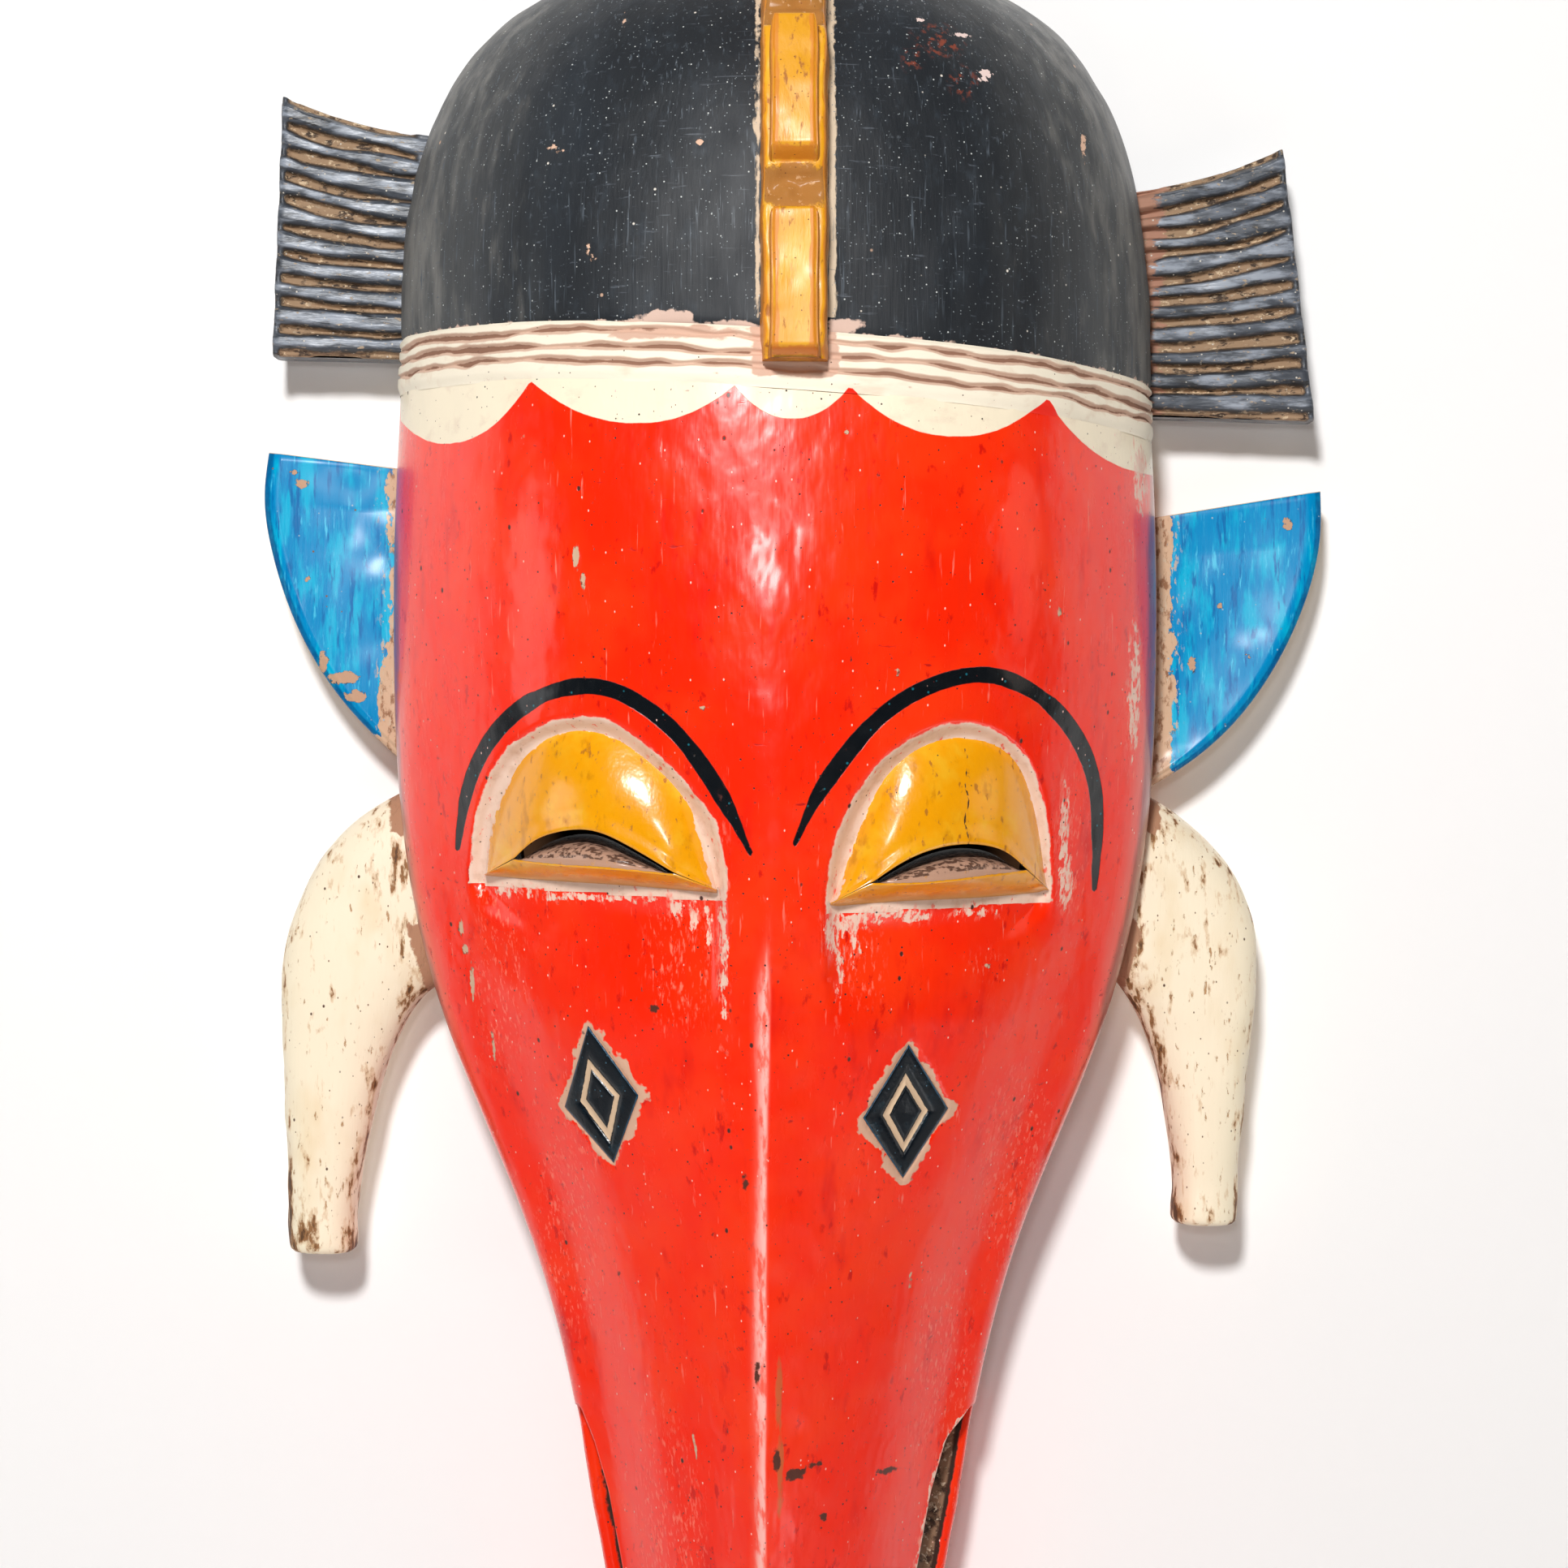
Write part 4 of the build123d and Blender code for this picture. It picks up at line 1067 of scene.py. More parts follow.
def make_lower_beak(paint):
    """The lower beak behind the mouth: a block with a flat front and back and rounded rims."""
    heights = np.r_[MOUTH_TOP_Z + 0.2, np.arange(-303.5, TIP_Z + 10.5, -1.6), tip_heights(8)]
    table = np.linspace(0, 1.99, 240)
    across = np.linspace(-1, 1, 44)
    wall_y = np.linspace(MOUTH_BACK_Y, 0, 12)
    middle = np.array((0.0, MOUTH_BACK_Y / 2))
    rings, rims, cuts = [], [], []
    for level in heights:
        half_x, half_y = shell_point(np.full(table.shape, level), table)
        wall_x = np.interp(wall_y, half_y, half_x)
        edge = wall_x[0] - np.abs(across * (wall_x[0] - 0.9))
        front_y = MOUTH_BACK_Y + 0.1 + 1.1 * ramp(edge, 1.2, 3.4)
        front = np.stack([across * (wall_x[0] - 0.9), front_y], axis=1)
        right = np.stack([wall_x, wall_y], axis=1)[1:-1]
        back = np.stack([across[::-4] * (wall_x[-1] - 0.8), np.zeros(11)], axis=1)
        ring = np.vstack([front, right, back, right[::-1] * (-1, 1)])
        ring = middle + (ring - middle) * tip_share(level)
        rings.append(ring)
        rest = ring[len(front):, 1]
        # On the lower beak's front, which lies back in the mouth's slit: painted shade, and on the right cut
        # wood further in.
        front_cut = np.where(across < 0, np.minimum(edge - 2.9, 0.7), edge - 2.0)
        cuts.append(np.r_[front_cut, np.full(len(rest), -3.0)])
        rims.append(np.r_[0.7 - edge, 0.8 - np.abs(rest - MOUTH_BACK_Y) * 0.6])
    rings = np.array(rings)
    x, y = rings[:, :, 0], rings[:, :, 1]
    z = np.repeat(heights[:, None], rings.shape[1], axis=1)
    x = x + np.sign(x) * 0.25 * wander(y * 2, z, 9, 21) * (np.abs(y + 12) < 11.5)
    at_back = y > -0.3
    unmarked = ("scallop", "arch", "rim", "ridge", "smudge", "scuff", "crest")
    fields = {name: -FAR for name in unmarked} | {
        "brow": FAR,
        "diamond": FAR,
        "turn": np.where(at_back, -1.0, FAR),
        "side": np.where(at_back, 2.0, 0.85),
        "chip": spot_edges(y, z, LOWER_BEAK_CHIPS),
        "rub": np.array(rims) - 0.55,
        "cut": np.array(cuts),
    }
    points = np.stack([x, y, z], axis=2)
    carving = Carving("lower_beak_wood")
    carving.add(points, fields, closed=True, flip=faces_in(points[:, 50:60]))
    carving.cap(last_row(points), flip=True)
    carving.finish(paint, "lower_beak")


# ---- Crown and band ----

def tilt_crown(x, z):
    """Brings the crown's lowest levels to the band's tilted top."""
    share = np.clip((-48 - z) / (-48 - CROWN_BASE_Z), 0, 1)
    return z + share * (band_z(x, BAND_TOP_Z) - CROWN_BASE_Z)


def make_crown(paint):
    """The dome's painted outside, from the brow band up to its top."""
    across = shell_columns(230, 9)
    angle = np.linspace(0, math.pi / 2, 150)
    rise = np.sin(angle) ** (2 / CROWN_ROUNDNESS)
    run = np.cos(angle) ** (2 / CROWN_ROUNDNESS)
    along = np.r_[0, np.cumsum(np.hypot(np.diff(run), np.diff(rise)))]
    rise = np.interp(np.linspace(0, along[-1], 150), along, rise)
    x, y, z = sloped(CROWN_BASE_Z + (APEX_Z - CROWN_BASE_Z) * rise, across, tilt_crown)
    points = np.stack([x, y, z], axis=2)
    uneven = 0.45 * wander(across * 110, z, 17, 31) + 0.16 * wander(across * 110, z, 5, 32)
    over_band = z - band_z(x, BAND_TOP_Z)
    chip = spot_edges(x, z, CROWN_CHIPS)
    fade = ramp(2 - np.abs(across), 0, 0.2) * ramp(1 - rise, 0, 0.02)[:, None]
    push = (uneven - 0.35 * ramp(chip, -0.2, 0.6)) * fade - 0.5 * (1 - ramp(over_band, 0.0, 1.4))
    points = points + away_from_axis(points) * push[:, :, None]
    from_keel = np.abs(x - KEEL_X) - KEEL_WIDTH / 2
    keel = 0.9 - np.abs(from_keel - 0.4) - 0.5 * (x < KEEL_X)
    fields = {
        "side": np.abs(across),
        "keel": np.where((y < -5) & (z > -75), keel, -FAR),
        "stain": spot_edges(x, z, CROWN_STAINS),
        "pale": spot_edges(x, z, CROWN_PALES),
        "chip": chip,
        "foot": np.maximum(0.25 - over_band, spot_edges(x, z, FOOT_RUBS)),
    }
    carving = Carving("crown")
    carving.add(points, fields, flip=faces_in(points[:100]), spread=True)
    carving.finish(paint, "crown_cap")


GROOVES = (1.9, 4.7, 7.6)  # distances of the incised lines under the band's top
SCALLOPS_FROM = 8.2  # distance under the band's top where the scallops' paint begins


def make_band(paint):
    """The cream ring: a little proud of the shell, with three wavering incised lines."""
    across = shell_columns(240, 9)
    down = np.linspace(-0.3, BAND_HEIGHT + 0.3, 52)
    x, y, z = sloped(BAND_TOP_Z - down, across, band_z)
    down = down[:, None]
    points = np.stack([x, y, z], axis=2)
    around = across * 110
    groove = -FAR
    for index, place in enumerate(GROOVES):
        waver = 0.55 * wander(around, 0, 11, 40 + index) + 0.25 * wander(around, 0, 4, 50 + index)
        swing = 0.35 * wander(around, 0, 6, 44 + index)
        groove = np.maximum(groove, 0.85 + swing - np.abs(down - place - waver))
    proud = 0.55 * ramp(down, -0.3, 0.5) * ramp(BAND_HEIGHT + 0.3 - down, 0.0, 2.2)
    lump = 0.25 * wander(around, z, 8, 60) * ramp(2 - np.abs(across), 0, 0.2)
    push = proud + lump - 0.75 * ramp(groove, 0, 0.7)
    points = points + away_from_axis(points) * push[:, :, None]
    from_keel = np.maximum(np.abs(x - KEEL_X) - KEEL_WIDTH / 2, 0)
    foot = 1.6 - np.hypot(from_keel, np.maximum(0, -84.5 - z)) - 9 * (y > -40)
    fields = {
        "groove": groove,
        "scallop": np.where(down > SCALLOPS_FROM, scallop_height(x, y, z), FAR),
        "foot": np.maximum(foot, spot_edges(x, z, BAND_RUBS)),
    }
    carving = Carving("band")
    carving.add(points, fields, flip=faces_in(points), spread=True)
    carving.finish(paint, "brow_band")


# ---- The hollow and the back rim ----

def gouged(across, z, length, seed):
    """How far gouge cuts leave the inner wall under its form."""
    return (1.1 - 1.5 * gouges(across * 100, z, 9, length, seed)) * 0.9


def make_inside(wood, name, node, heights, tilt):
    """The back of a stretch of the shell: its rim, its inner wall and, past the hollow, its flat end."""
    rim = np.linspace(0, 1, 7)
    inner = shell_columns(120, 7)
    across = np.r_[-rim, inner, rim]
    closing = np.clip((HOLLOW_BOTTOM_Z + 16 - heights) / 16, 0, 1)
    open_share = np.sqrt(1 - closing ** 2)[:, None]
    z = np.repeat(heights[:, None], len(across), axis=1)
    for _ in range(2):
        half = form(z)[0]
        inner_x, inner_y = shell_point(z[:, 7:-7], inner, WALL)
        x = np.hstack([rim * WALL - half[:, :7], inner_x, half[:, -7:] - rim[::-1] * WALL])
        z = tilt(x, heights[:, None])
    depth = np.pad(-inner_y * open_share, ((0, 0), (7, 7)))
    y = -depth - gouged(across, z, 17, 70) * ramp(depth, 2, 12)
    points = np.stack([x, y, z], axis=2)
    holes = np.zeros(x.shape, bool)
    for side in SIDES:
        outline = np.vstack([smooth_path(SLIT_TOPS[side], 40), smooth_path(SLIT_LOWS[side], 40)[::-1]])
        holes |= inside(x, z, outline) & (depth > 20)
    cells = ~corners_of(holes).any(axis=2)
    carving = Carving(name)
    carving.add(points, {"rim": 1.8 - 3 * ramp(depth, 0.2, 2.0)}, keep=cells, flip=not faces_in(points))
    carving.finish(wood, node)


def crown_arch(half, height):
    """Evenly spaced points of a dome's outline over the crown's base, in x and z."""
    turn = np.linspace(0, math.pi, 600)
    x = -np.sign(np.cos(turn)) * half * np.abs(np.cos(turn)) ** (2 / CROWN_ROUNDNESS)
    z = CROWN_BASE_Z + height * np.sin(turn) ** (2 / CROWN_ROUNDNESS)
    along = np.r_[0, np.cumsum(np.hypot(np.diff(x), np.diff(z)))]
    even = np.linspace(0, along[-1], 321)
    return np.stack([np.interp(even, along, x), np.interp(even, along, z)], axis=1)


def make_crown_inside(wood):
    """The crown's hollow and its back rim, with the hanging hole in the rim's middle."""
    across = shell_columns(120, 7)
    rise = np.sin(np.linspace(0, math.pi / 2, 46)) ** (2 / CROWN_ROUNDNESS)
    hollow_height = HOLLOW_APEX_Z - CROWN_BASE_Z
    x, y, z = sloped(CROWN_BASE_Z + hollow_height * rise, across, tilt_crown, WALL, HOLLOW_APEX_Z)
    y = y - gouged(across, z, 15, 71) * ramp(-y, 2, 12)
    dome = np.stack([x, y, z], axis=2)
    carving = Carving("crown_inside")
    carving.add(dome, {"rim": 1.0 - ramp(-y, 0.2, 2.0) * 3}, flip=not faces_in(dome[:40]))

    # The rim's points nearest to the hole are drawn onto its edge, and those within it go down to its bottom.
    half = form(CROWN_BASE_Z)[0]
    outer, hollow = crown_arch(half, APEX_Z - CROWN_BASE_Z), crown_arch(half - WALL, hollow_height)
    share = np.linspace(0, 1, 34)[:, None, None]
    flat = outer[None] * (1 - share) + hollow[None] * share
    x, z = flat[:, :, 0], tilt_crown(flat[:, :, 0], flat[:, :, 1])
    reach = np.hypot(x, z)
    edge = np.abs(reach - HOLE_RADIUS) < 0.6
    scale = np.where(edge, HOLE_RADIUS / np.maximum(reach, 1e-6), 1.0)
    y = np.where(reach < HOLE_RADIUS - 0.6, -HOLE_DEPTH, 0.0)
    rim = np.stack([x * scale, y, z * scale], axis=2)
    carving.add(rim, {"rim": np.where(y < 0, -1.0, 1.8)})
    carving.finish(wood, "crown_cap")


# ---- Eyelids and diamonds ----

def make_eyelid(name, paint):
    """An eyelid that swells out of its socket, with a slit whose floor runs in to the hollow."""
    share = np.linspace(0, 1, 150)
    lid = along_path(LIDS[name], share)
    outer, inner = np.array(LIDS[name][0]), np.array(LIDS[name][-1])
    start, end = 0.13, 0.87
    from_outer = np.minimum(share / start, 1)[:, None]
    from_inner = np.minimum((1 - share) / (1 - end), 1)[:, None]

    def slit_line(path):
        line = along_path(path, np.clip((share - start) / (end - start), 0, 1))
        line = outer + (line - outer) * from_outer
        return inner + (line - inner) * from_inner

    top, low = slit_line(SLIT_TOPS[name]), slit_line(SLIT_LOWS[name])
    span = (top[:, 0] - outer[0]) / (inner[0] - outer[0])
    foot = along_path(LID_FEET[name], np.clip(span, 0, 1))
    opening = np.maximum(top[:, 1] - low[:, 1], 0)
    swell = LID_SWELL * (0.34 + 0.66 * np.sin(np.pi * share) ** 0.55)
    is_open = ramp(opening, 0, 0.8)

    rows, fields = [], {"edge": [], "floor": [], "under": [], "deep": [], "crack": []}

    def row(x, y, z, edge=-FAR, floor=-FAR, under=-FAR, deep=0.0):
        rows.append(np.stack([x, y, z], axis=1))
        from_crack = np.abs(x - 39.0 - 0.4 * np.sin(z * 0.8)) if name == "right" else FAR
        crack = 0.13 - from_crack - FAR * ((z > -160) | (z < -181.5))
        values = {"edge": edge, "floor": floor, "under": under, "deep": deep, "crack": crack}
        for key, value in values.items():
            fields[key].append(np.broadcast_to(value, x.shape))

    # The lid's swell, from its edge down to the slit's lip.
    for part in np.linspace(0, 1, 34):
        at = lid + (top - lid) * part
        lift = np.sin(part * math.pi / 2) ** 0.95
        dent = 0.25 * wander(at[:, 0], at[:, 1], 7, 80) * lift
        raised = swell + 0.7 + 0.8 * ramp(part, 0.8, 1.0)
        socket_y = OUTER.y(*at.T) + RECESS
        row(at[:, 0], socket_y + 0.7 - raised * lift + dent, at[:, 1], edge=1.1 - np.hypot(*(at - lid).T))
    lip_y = rows[-1][:, 1]
    depth = (INNER.y(*top.T) + 1.2 - lip_y) * ramp(opening, 0.0, 1.8)

    # The slit's roof, and its floor back out to the lower lip.
    # deep marks how far into the slit a row lies, where the paint puts painted shade.
    for step, lift, deep in ((0.25, -0.12, 0), (0.9, 0.1, 0.1)):
        row(top[:, 0], lip_y + step * is_open, top[:, 1] + lift * is_open, floor=-0.5, deep=deep)
    for part in (0.12, 0.3, 0.6, 1.0):
        inward = np.maximum(depth * part, 0.9 * is_open)
        row(top[:, 0], lip_y + inward, top[:, 1] + (0.1 + 0.8 * part) * is_open, floor=2.0, deep=part * 2)
    roof_row = len(rows) - 1
    low_y = lip_y + 0.7 * ramp(opening, 0, 2)
    for part in (1.0, 0.8, 0.6, 0.45, 0.32, 0.22, 0.14, 0.08, 0.03, 0.0):
        climb = np.maximum(opening - 1.3, 0) * part ** 0.42
        rough = 0.25 * wander(low[:, 0], part * 30, 2.5, 81) * (part > 0)
        floor_y = low_y + 0.5 + np.maximum(depth - 1.2, 0) * part ** 2.1 + rough
        bare = 2.0 if part > 0.05 else 0.2
        row(low[:, 0], floor_y, low[:, 1] + climb, floor=bare, deep=max(0.0, part * 1.5 - 0.9))

    # The lower lip and the slope under it, down to the lid's foot.
    row(low[:, 0], low_y, low[:, 1] - 0.25 * is_open, floor=-0.4)
    foot_y = OUTER.y(*foot.T) + RECESS - 0.2
    # under marks the slope under the lid, which the paint darkens as painted shade.
    for part in np.linspace(0.15, 1, 9):
        at = low + (foot - low) * part
        row(at[:, 0], low_y + (foot_y - low_y) * part ** 1.3, at[:, 1], under=part * 2 - 1.3)
    row(foot[:, 0], foot_y + 2.5, foot[:, 1] + 0.3, under=1.0)
    keep = np.ones((len(rows) - 1, len(share) - 1), bool)
    keep[roof_row] = (depth[:-1] < 9) | (depth[1:] < 9)
    carving = Carving(f"eyelid_{name}_wood")
    fields = {key: np.array(value) for key, value in fields.items()}
    carving.add(np.array(rows), fields, keep=keep, flip=name == "right")
    carving.finish(paint, f"eyelid_{name}")


FIELD, RING_BED, BEVEL, BORDER = 0, 1, 2, 3


def make_diamond(name, paint):
    """A cheek diamond: a raised field round an incised ring and a centre."""
    around = np.linspace(0, 4, 96, endpoint=False)
    corner, part = np.floor(around).astype(int), (around % 1)[:, None]
    shapes = [np.array(shape) for shape in DIAMONDS[name]]
    centre, inner, ring, rim = (s[corner] * (1 - part) + s[(corner + 1) % 4] * part for s in shapes)
    middle = centre.mean(axis=0)
    # Loops from the middle outwards, each as its share of the way between outlines, its height and its kind.
    steps = (
        (middle, centre, ((0.02, 0.15, FIELD),)),
        (centre, inner, ((0, 0.3, FIELD), (0.4, 0.31, FIELD), (0.8, 0.27, FIELD))),
        (inner, ring, ((0, 0.1, FIELD), (0.25, -0.45, RING_BED), (0.7, -0.5, RING_BED))),
        (ring, rim, ((0, 0.0, FIELD), (0.12, 0.35, FIELD), (0.35, 0.385, FIELD), (0.6, 0.41, FIELD),
                     (0.8, 0.43, FIELD), (0.9, 0.30, BEVEL), (0.965, -0.15, BORDER), (1, -0.5, BORDER),
                     (1, -2.4, BORDER))),
    )
    rows, kinds = [], []
    for start, end, levels in steps:
        for share, lift, kind in levels:
            loop = start + (end - start) * share
            rows.append(np.stack([loop[:, 0], OUTER.y(*loop.T) - lift, loop[:, 1]], axis=1))
            kinds.append([kind])
    kinds = np.array(kinds)
    fields = {
        "ring": np.where(kinds == RING_BED, 0.6, -0.6),
        "bevel": np.where(kinds == BEVEL, 0.5, -0.5),
        "edge": np.where(kinds == BORDER, 0.5, -0.7),
    }
    carving = Carving(f"cheek_diamond_{name}_inlay")
    carving.add(np.array(rows), fields, closed=True)
    carving.finish(paint, f"cheek_diamond_{name}")


# ---- Side pieces ----

FRONT_COLUMNS = 50
RIM_COLUMNS = 7
BACK_COLUMNS = 8
END_ROWS = 4


def plate_rings(inner, outer, front_y, back_y, edge=1.2):
    """Closed rings of a plate, one for each row: its front from inner to outer edge, then its back."""
    across = np.linspace(0, 1, FRONT_COLUMNS)
    turn = np.linspace(-math.pi / 2, math.pi / 2, RIM_COLUMNS + 2)[1:-1]
    rows = []
    for row, (a, b) in enumerate(zip(inner, outer)):
        width = max(np.hypot(*(b - a)), 1e-3)
        y = front_y[row]
        half = max((back_y - y[-1]) / 2, 0.05)
        bulge = np.abs(np.cos(turn)) ** 0.5 * min(edge, width * 0.3)
        rim_y = (y[-1] + back_y) / 2 + half * np.sign(turn) * np.abs(np.sin(turn)) ** 0.6
        front = a + np.outer(across, b - a)
        rim = b + np.outer(bulge, (b - a) / width)
        back = a + np.outer(np.linspace(1, 0, BACK_COLUMNS), b - a)
        flat = np.vstack([front, rim, back])
        y = np.r_[y, rim_y, np.full(BACK_COLUMNS, back_y)]
        rows.append(np.stack([flat[:, 0], y, flat[:, 1]], axis=1))
    return np.array(rows)


def end_rows(ring, beyond):
    """Rings that close a plate's end with a rounded edge."""
    step = ring - beyond
    step = step / np.maximum(np.linalg.norm(step, axis=1, keepdims=True), 1e-6)
    middle = ring[:, 1].mean()
    rows = []
    for scale, out in ((0.93, 0.6), (0.75, 0.9), (0.4, 1.0), (0.0, 1.0)):
        row = ring + step * out * 0.48
        row[:, 1] = middle + (ring[:, 1] - middle) * scale
        rows.append(row)
    return rows


def close_ends(rings):
    """Adds the two end faces to a plate's rings."""
    return np.array(end_rows(rings[0], rings[1])[::-1] + list(rings) + end_rows(rings[-1], rings[-2]))


def over_ends(values):
    """A field of a plate's rings, run on over its end faces."""
    return np.pad(values, ((END_ROWS, END_ROWS), (0, 0)), mode="edge")


# The combs' upper and lower corners, each the inner one and the outer one.
COMB_TOPS = {"left": ((-74.0, -25.6), (-107.2, -16.6)), "right": ((79.0, -37.4), (110.6, -28.0))}
COMB_FEET = {"left": ((-73.0, -73.5), (-109.4, -72.6)), "right": ((75.0, -85.6), (117.4, -86.8))}
COMB_SEEDS = {"left": 90, "right": 95}
COMB_RIDGES = 10
PLATE_BACK_Y = -6.0


def make_comb(name, paint):
    """A temple comb: a plate whose front is cut into wavering ridges, with a plain strip along the crown."""
    side, seed = SIDES[name], COMB_SEEDS[name]
    down = np.linspace(0, 1, 230)[:, None]
    across = np.linspace(0, 1, FRONT_COLUMNS)
    (top_in, top_out), (foot_in, foot_out) = np.array(COMB_TOPS[name]), np.array(COMB_FEET[name])
    inner, outer = top_in + (foot_in - top_in) * down, top_out + (foot_out - top_out) * down
    outer[:, :1] += side * 0.1 * np.sin(down * math.pi * 9)
    waver = 0.13 * wander(across * 2.2, down * 9, 1.0, seed)
    waver = waver + 0.045 * wander(across * 8, down * 12, 1.0, seed + 1)
    place = (down * COMB_RIDGES + waver * (1 - 0.7 * across)) % 1
    width = 0.42 + 0.16 * wander(across * 3, np.floor(down * COMB_RIDGES) * 3, 1.0, seed + 2)
    width = width + 0.12 * (1 - ramp(across, 0.12, 0.4)) * (side < 0) + 0.10 * ramp(across, 0.86, 0.99)
    crests = np.clip(1.15 - 1.15 * (np.abs(place - 0.5) / width) ** 2.2, 0, 1)
    strip = (1 - ramp(across, 0.12, 0.20)) * (side < 0)
    crests = np.maximum(crests, np.maximum(strip, ramp(across, 0.975, 0.99)) * 0.8)
    uneven = 0.3 * wander(across * 36, down * 50, 7, seed + 3)
    front = -20.0 + 2.6 * (1 - crests) + uneven + 0.6 * (1 - ramp(across, 0, 0.2))
    rings = plate_rings(inner, outer, front, PLATE_BACK_Y)
    bow = -1.6 * np.sin(np.pi * np.clip(np.abs(rings[:, :, 0] - inner[:, :1]) / 36, 0, 1))
    rings[:, :, 2] += bow * (1 - down) ** 0.5
    rim_groove = np.repeat(0.55 - crests[:, -1:], RIM_COLUMNS, axis=1)
    groove = np.hstack([0.45 - crests, rim_groove, np.full((len(down), BACK_COLUMNS), -0.6)])
    bare = (5.6 if side > 0 else -3.0) - across * 36 + 2.4 * (crests < 0.5)
    bare = np.pad(bare, ((0, 0), (0, RIM_COLUMNS + BACK_COLUMNS)), constant_values=-FAR)
    rings = close_ends(rings)
    z = rings[:, :, 2]
    fields = {
        "groove": over_ends(groove),
        "bare": over_ends(bare),
        "red": np.where((z < -83.0) & (side > 0), (-85.5 - z) * 0.2 - 1.0, -FAR),
    }
    carving = Carving(f"comb_{name}_wood")
    carving.add(rings, fields, closed=True, flip=side > 0)
    carving.finish(paint, f"comb_{name}")


EAR_INNER = {
    "left": ((-75.0, -99.0), (-74.0, -130.0), (-73.5, -167.0)),
    "right": ((75.0, -110.2), (75.0, -140.0), (73.0, -171.0)),
}
EAR_OUTER = {
    "left": ((-110.8, -94.6), (-111.6, -103.0), (-109.6, -117.0), (-104.6, -131.5), (-96.6, -145.5),
             (-87.0, -156.5), (-74.5, -167.4)),
    "right": ((119.4, -103.2), (119.2, -113.0), (115.6, -127.5), (108.6, -142.0), (99.6, -154.0),
              (89.0, -163.0), (74.0, -171.4)),
}
EAR_CHIPS = {
    "left": ((-104.5, -101.0, 1.4, 1.0), (-99.5, -140.5, 1.0, 2.4), (-95.0, -144.0, 3.5, 1.3),
             (-92.0, -148.0, 2.5, 1.2), (-106.0, -98.5, 0.9, 0.7), (-103.0, -122.0, 0.5, 0.9),
             (-82.0, -131.0, 0.9, 1.4)),
    "right": ((113.0, -110.0, 1.0, 1.4), (98.0, -128.0, 0.6, 0.6), (92.0, -141.0, 0.7, 2.0),
              (104.0, -139.0, 0.5, 0.7)),
}
# Width of the bare strip beside the face, and how much wider it grows downwards.
EAR_BARE = {"left": (10.6, 3.4), "right": (12.4, 1.02)}


def make_ear(name, paint):
    """A dished fin whose outer edge curves down to the face."""
    side = SIDES[name]
    share = np.linspace(0, 1, 110) ** 0.9
    inner, outer = along_path(EAR_INNER[name], share), along_path(EAR_OUTER[name], share)
    reach, down = np.hypot(*(outer - inner).T)[:, None], share[:, None]
    across = np.linspace(0, 1, FRONT_COLUMNS)
    dish = 1.3 * np.sin(np.pi * across) * np.minimum(1, reach / 20) * np.minimum(1, down * 8)
    lean = 5.5 * (1 - down) ** 2 - 0.8 - 3.0 * across * (1 - down)
    uneven = 0.2 * wander(across * reach, down * 70, 6, 120)
    rounding = 0.9 * ramp(across, 1 - 1.4 / np.maximum(reach, 4), 1.0) + 1.0 - ramp(across * reach, 0, 3)
    rings = plate_rings(inner, outer, -17.0 + lean + dish + uneven + rounding, PLATE_BACK_Y, edge=1.4)
    across = np.r_[across, np.ones(RIM_COLUMNS), np.linspace(1, 0, BACK_COLUMNS)]
    rings, away, to_rim = close_ends(rings), over_ends(across * reach), over_ends((1 - across) * reach)
    x, y, z = rings[:, :, 0], rings[:, :, 1], rings[:, :, 2]
    strip, growth = EAR_BARE[name]
    top_end = np.arange(len(rings))[:, None] < END_ROWS
    fields = {
        "bare": strip - away + growth * ramp(z, -128, -150) * ramp(16 - away, 0, 3),
        "rim": 0.1 - to_rim,
        "back": np.maximum(y + 9.2, np.where(top_end, 0.5, -FAR)),
        "chip": spot_edges(x, z, EAR_CHIPS[name]),
    }
    carving = Carving(f"ear_{name}_wood")
    carving.add(rings, fields, closed=True, flip=side > 0)
    carving.finish(paint, f"ear_{name}")


HORN_OUTER = {
    "left": ((-72.0, -163.5), (-79.5, -167.5), (-92.0, -175.0), (-102.0, -187.0), (-107.8, -203.0),
             (-108.6, -222.0), (-107.6, -245.0), (-106.8, -268.6)),
    "right": ((72.0, -166.5), (79.5, -168.8), (91.5, -176.5), (100.8, -186.5), (105.6, -199.0),
              (105.2, -220.0), (103.0, -242.0), (101.2, -262.6)),
}
HORN_INNER = {
    "left": ((-67.0, -211.5), (-71.5, -210.8), (-77.0, -213.6), (-81.6, -220.0), (-86.0, -230.5),
             (-89.4, -244.0), (-91.6, -256.0), (-92.6, -268.8)),
    "right": ((66.0, -207.0), (71.0, -207.2), (75.8, -211.4), (80.4, -219.0), (84.2, -230.0), (86.6, -243.0),
              (87.6, -253.0), (87.8, -262.4)),
}
HORN_MIDDLE_Y = -14.4
# Drop and scale of the foot's last rings.
SOLE = ((0.7, 0.97), (1.3, 0.88), (1.6, 0.72), (1.7, 0.4), (1.7, 0.0))


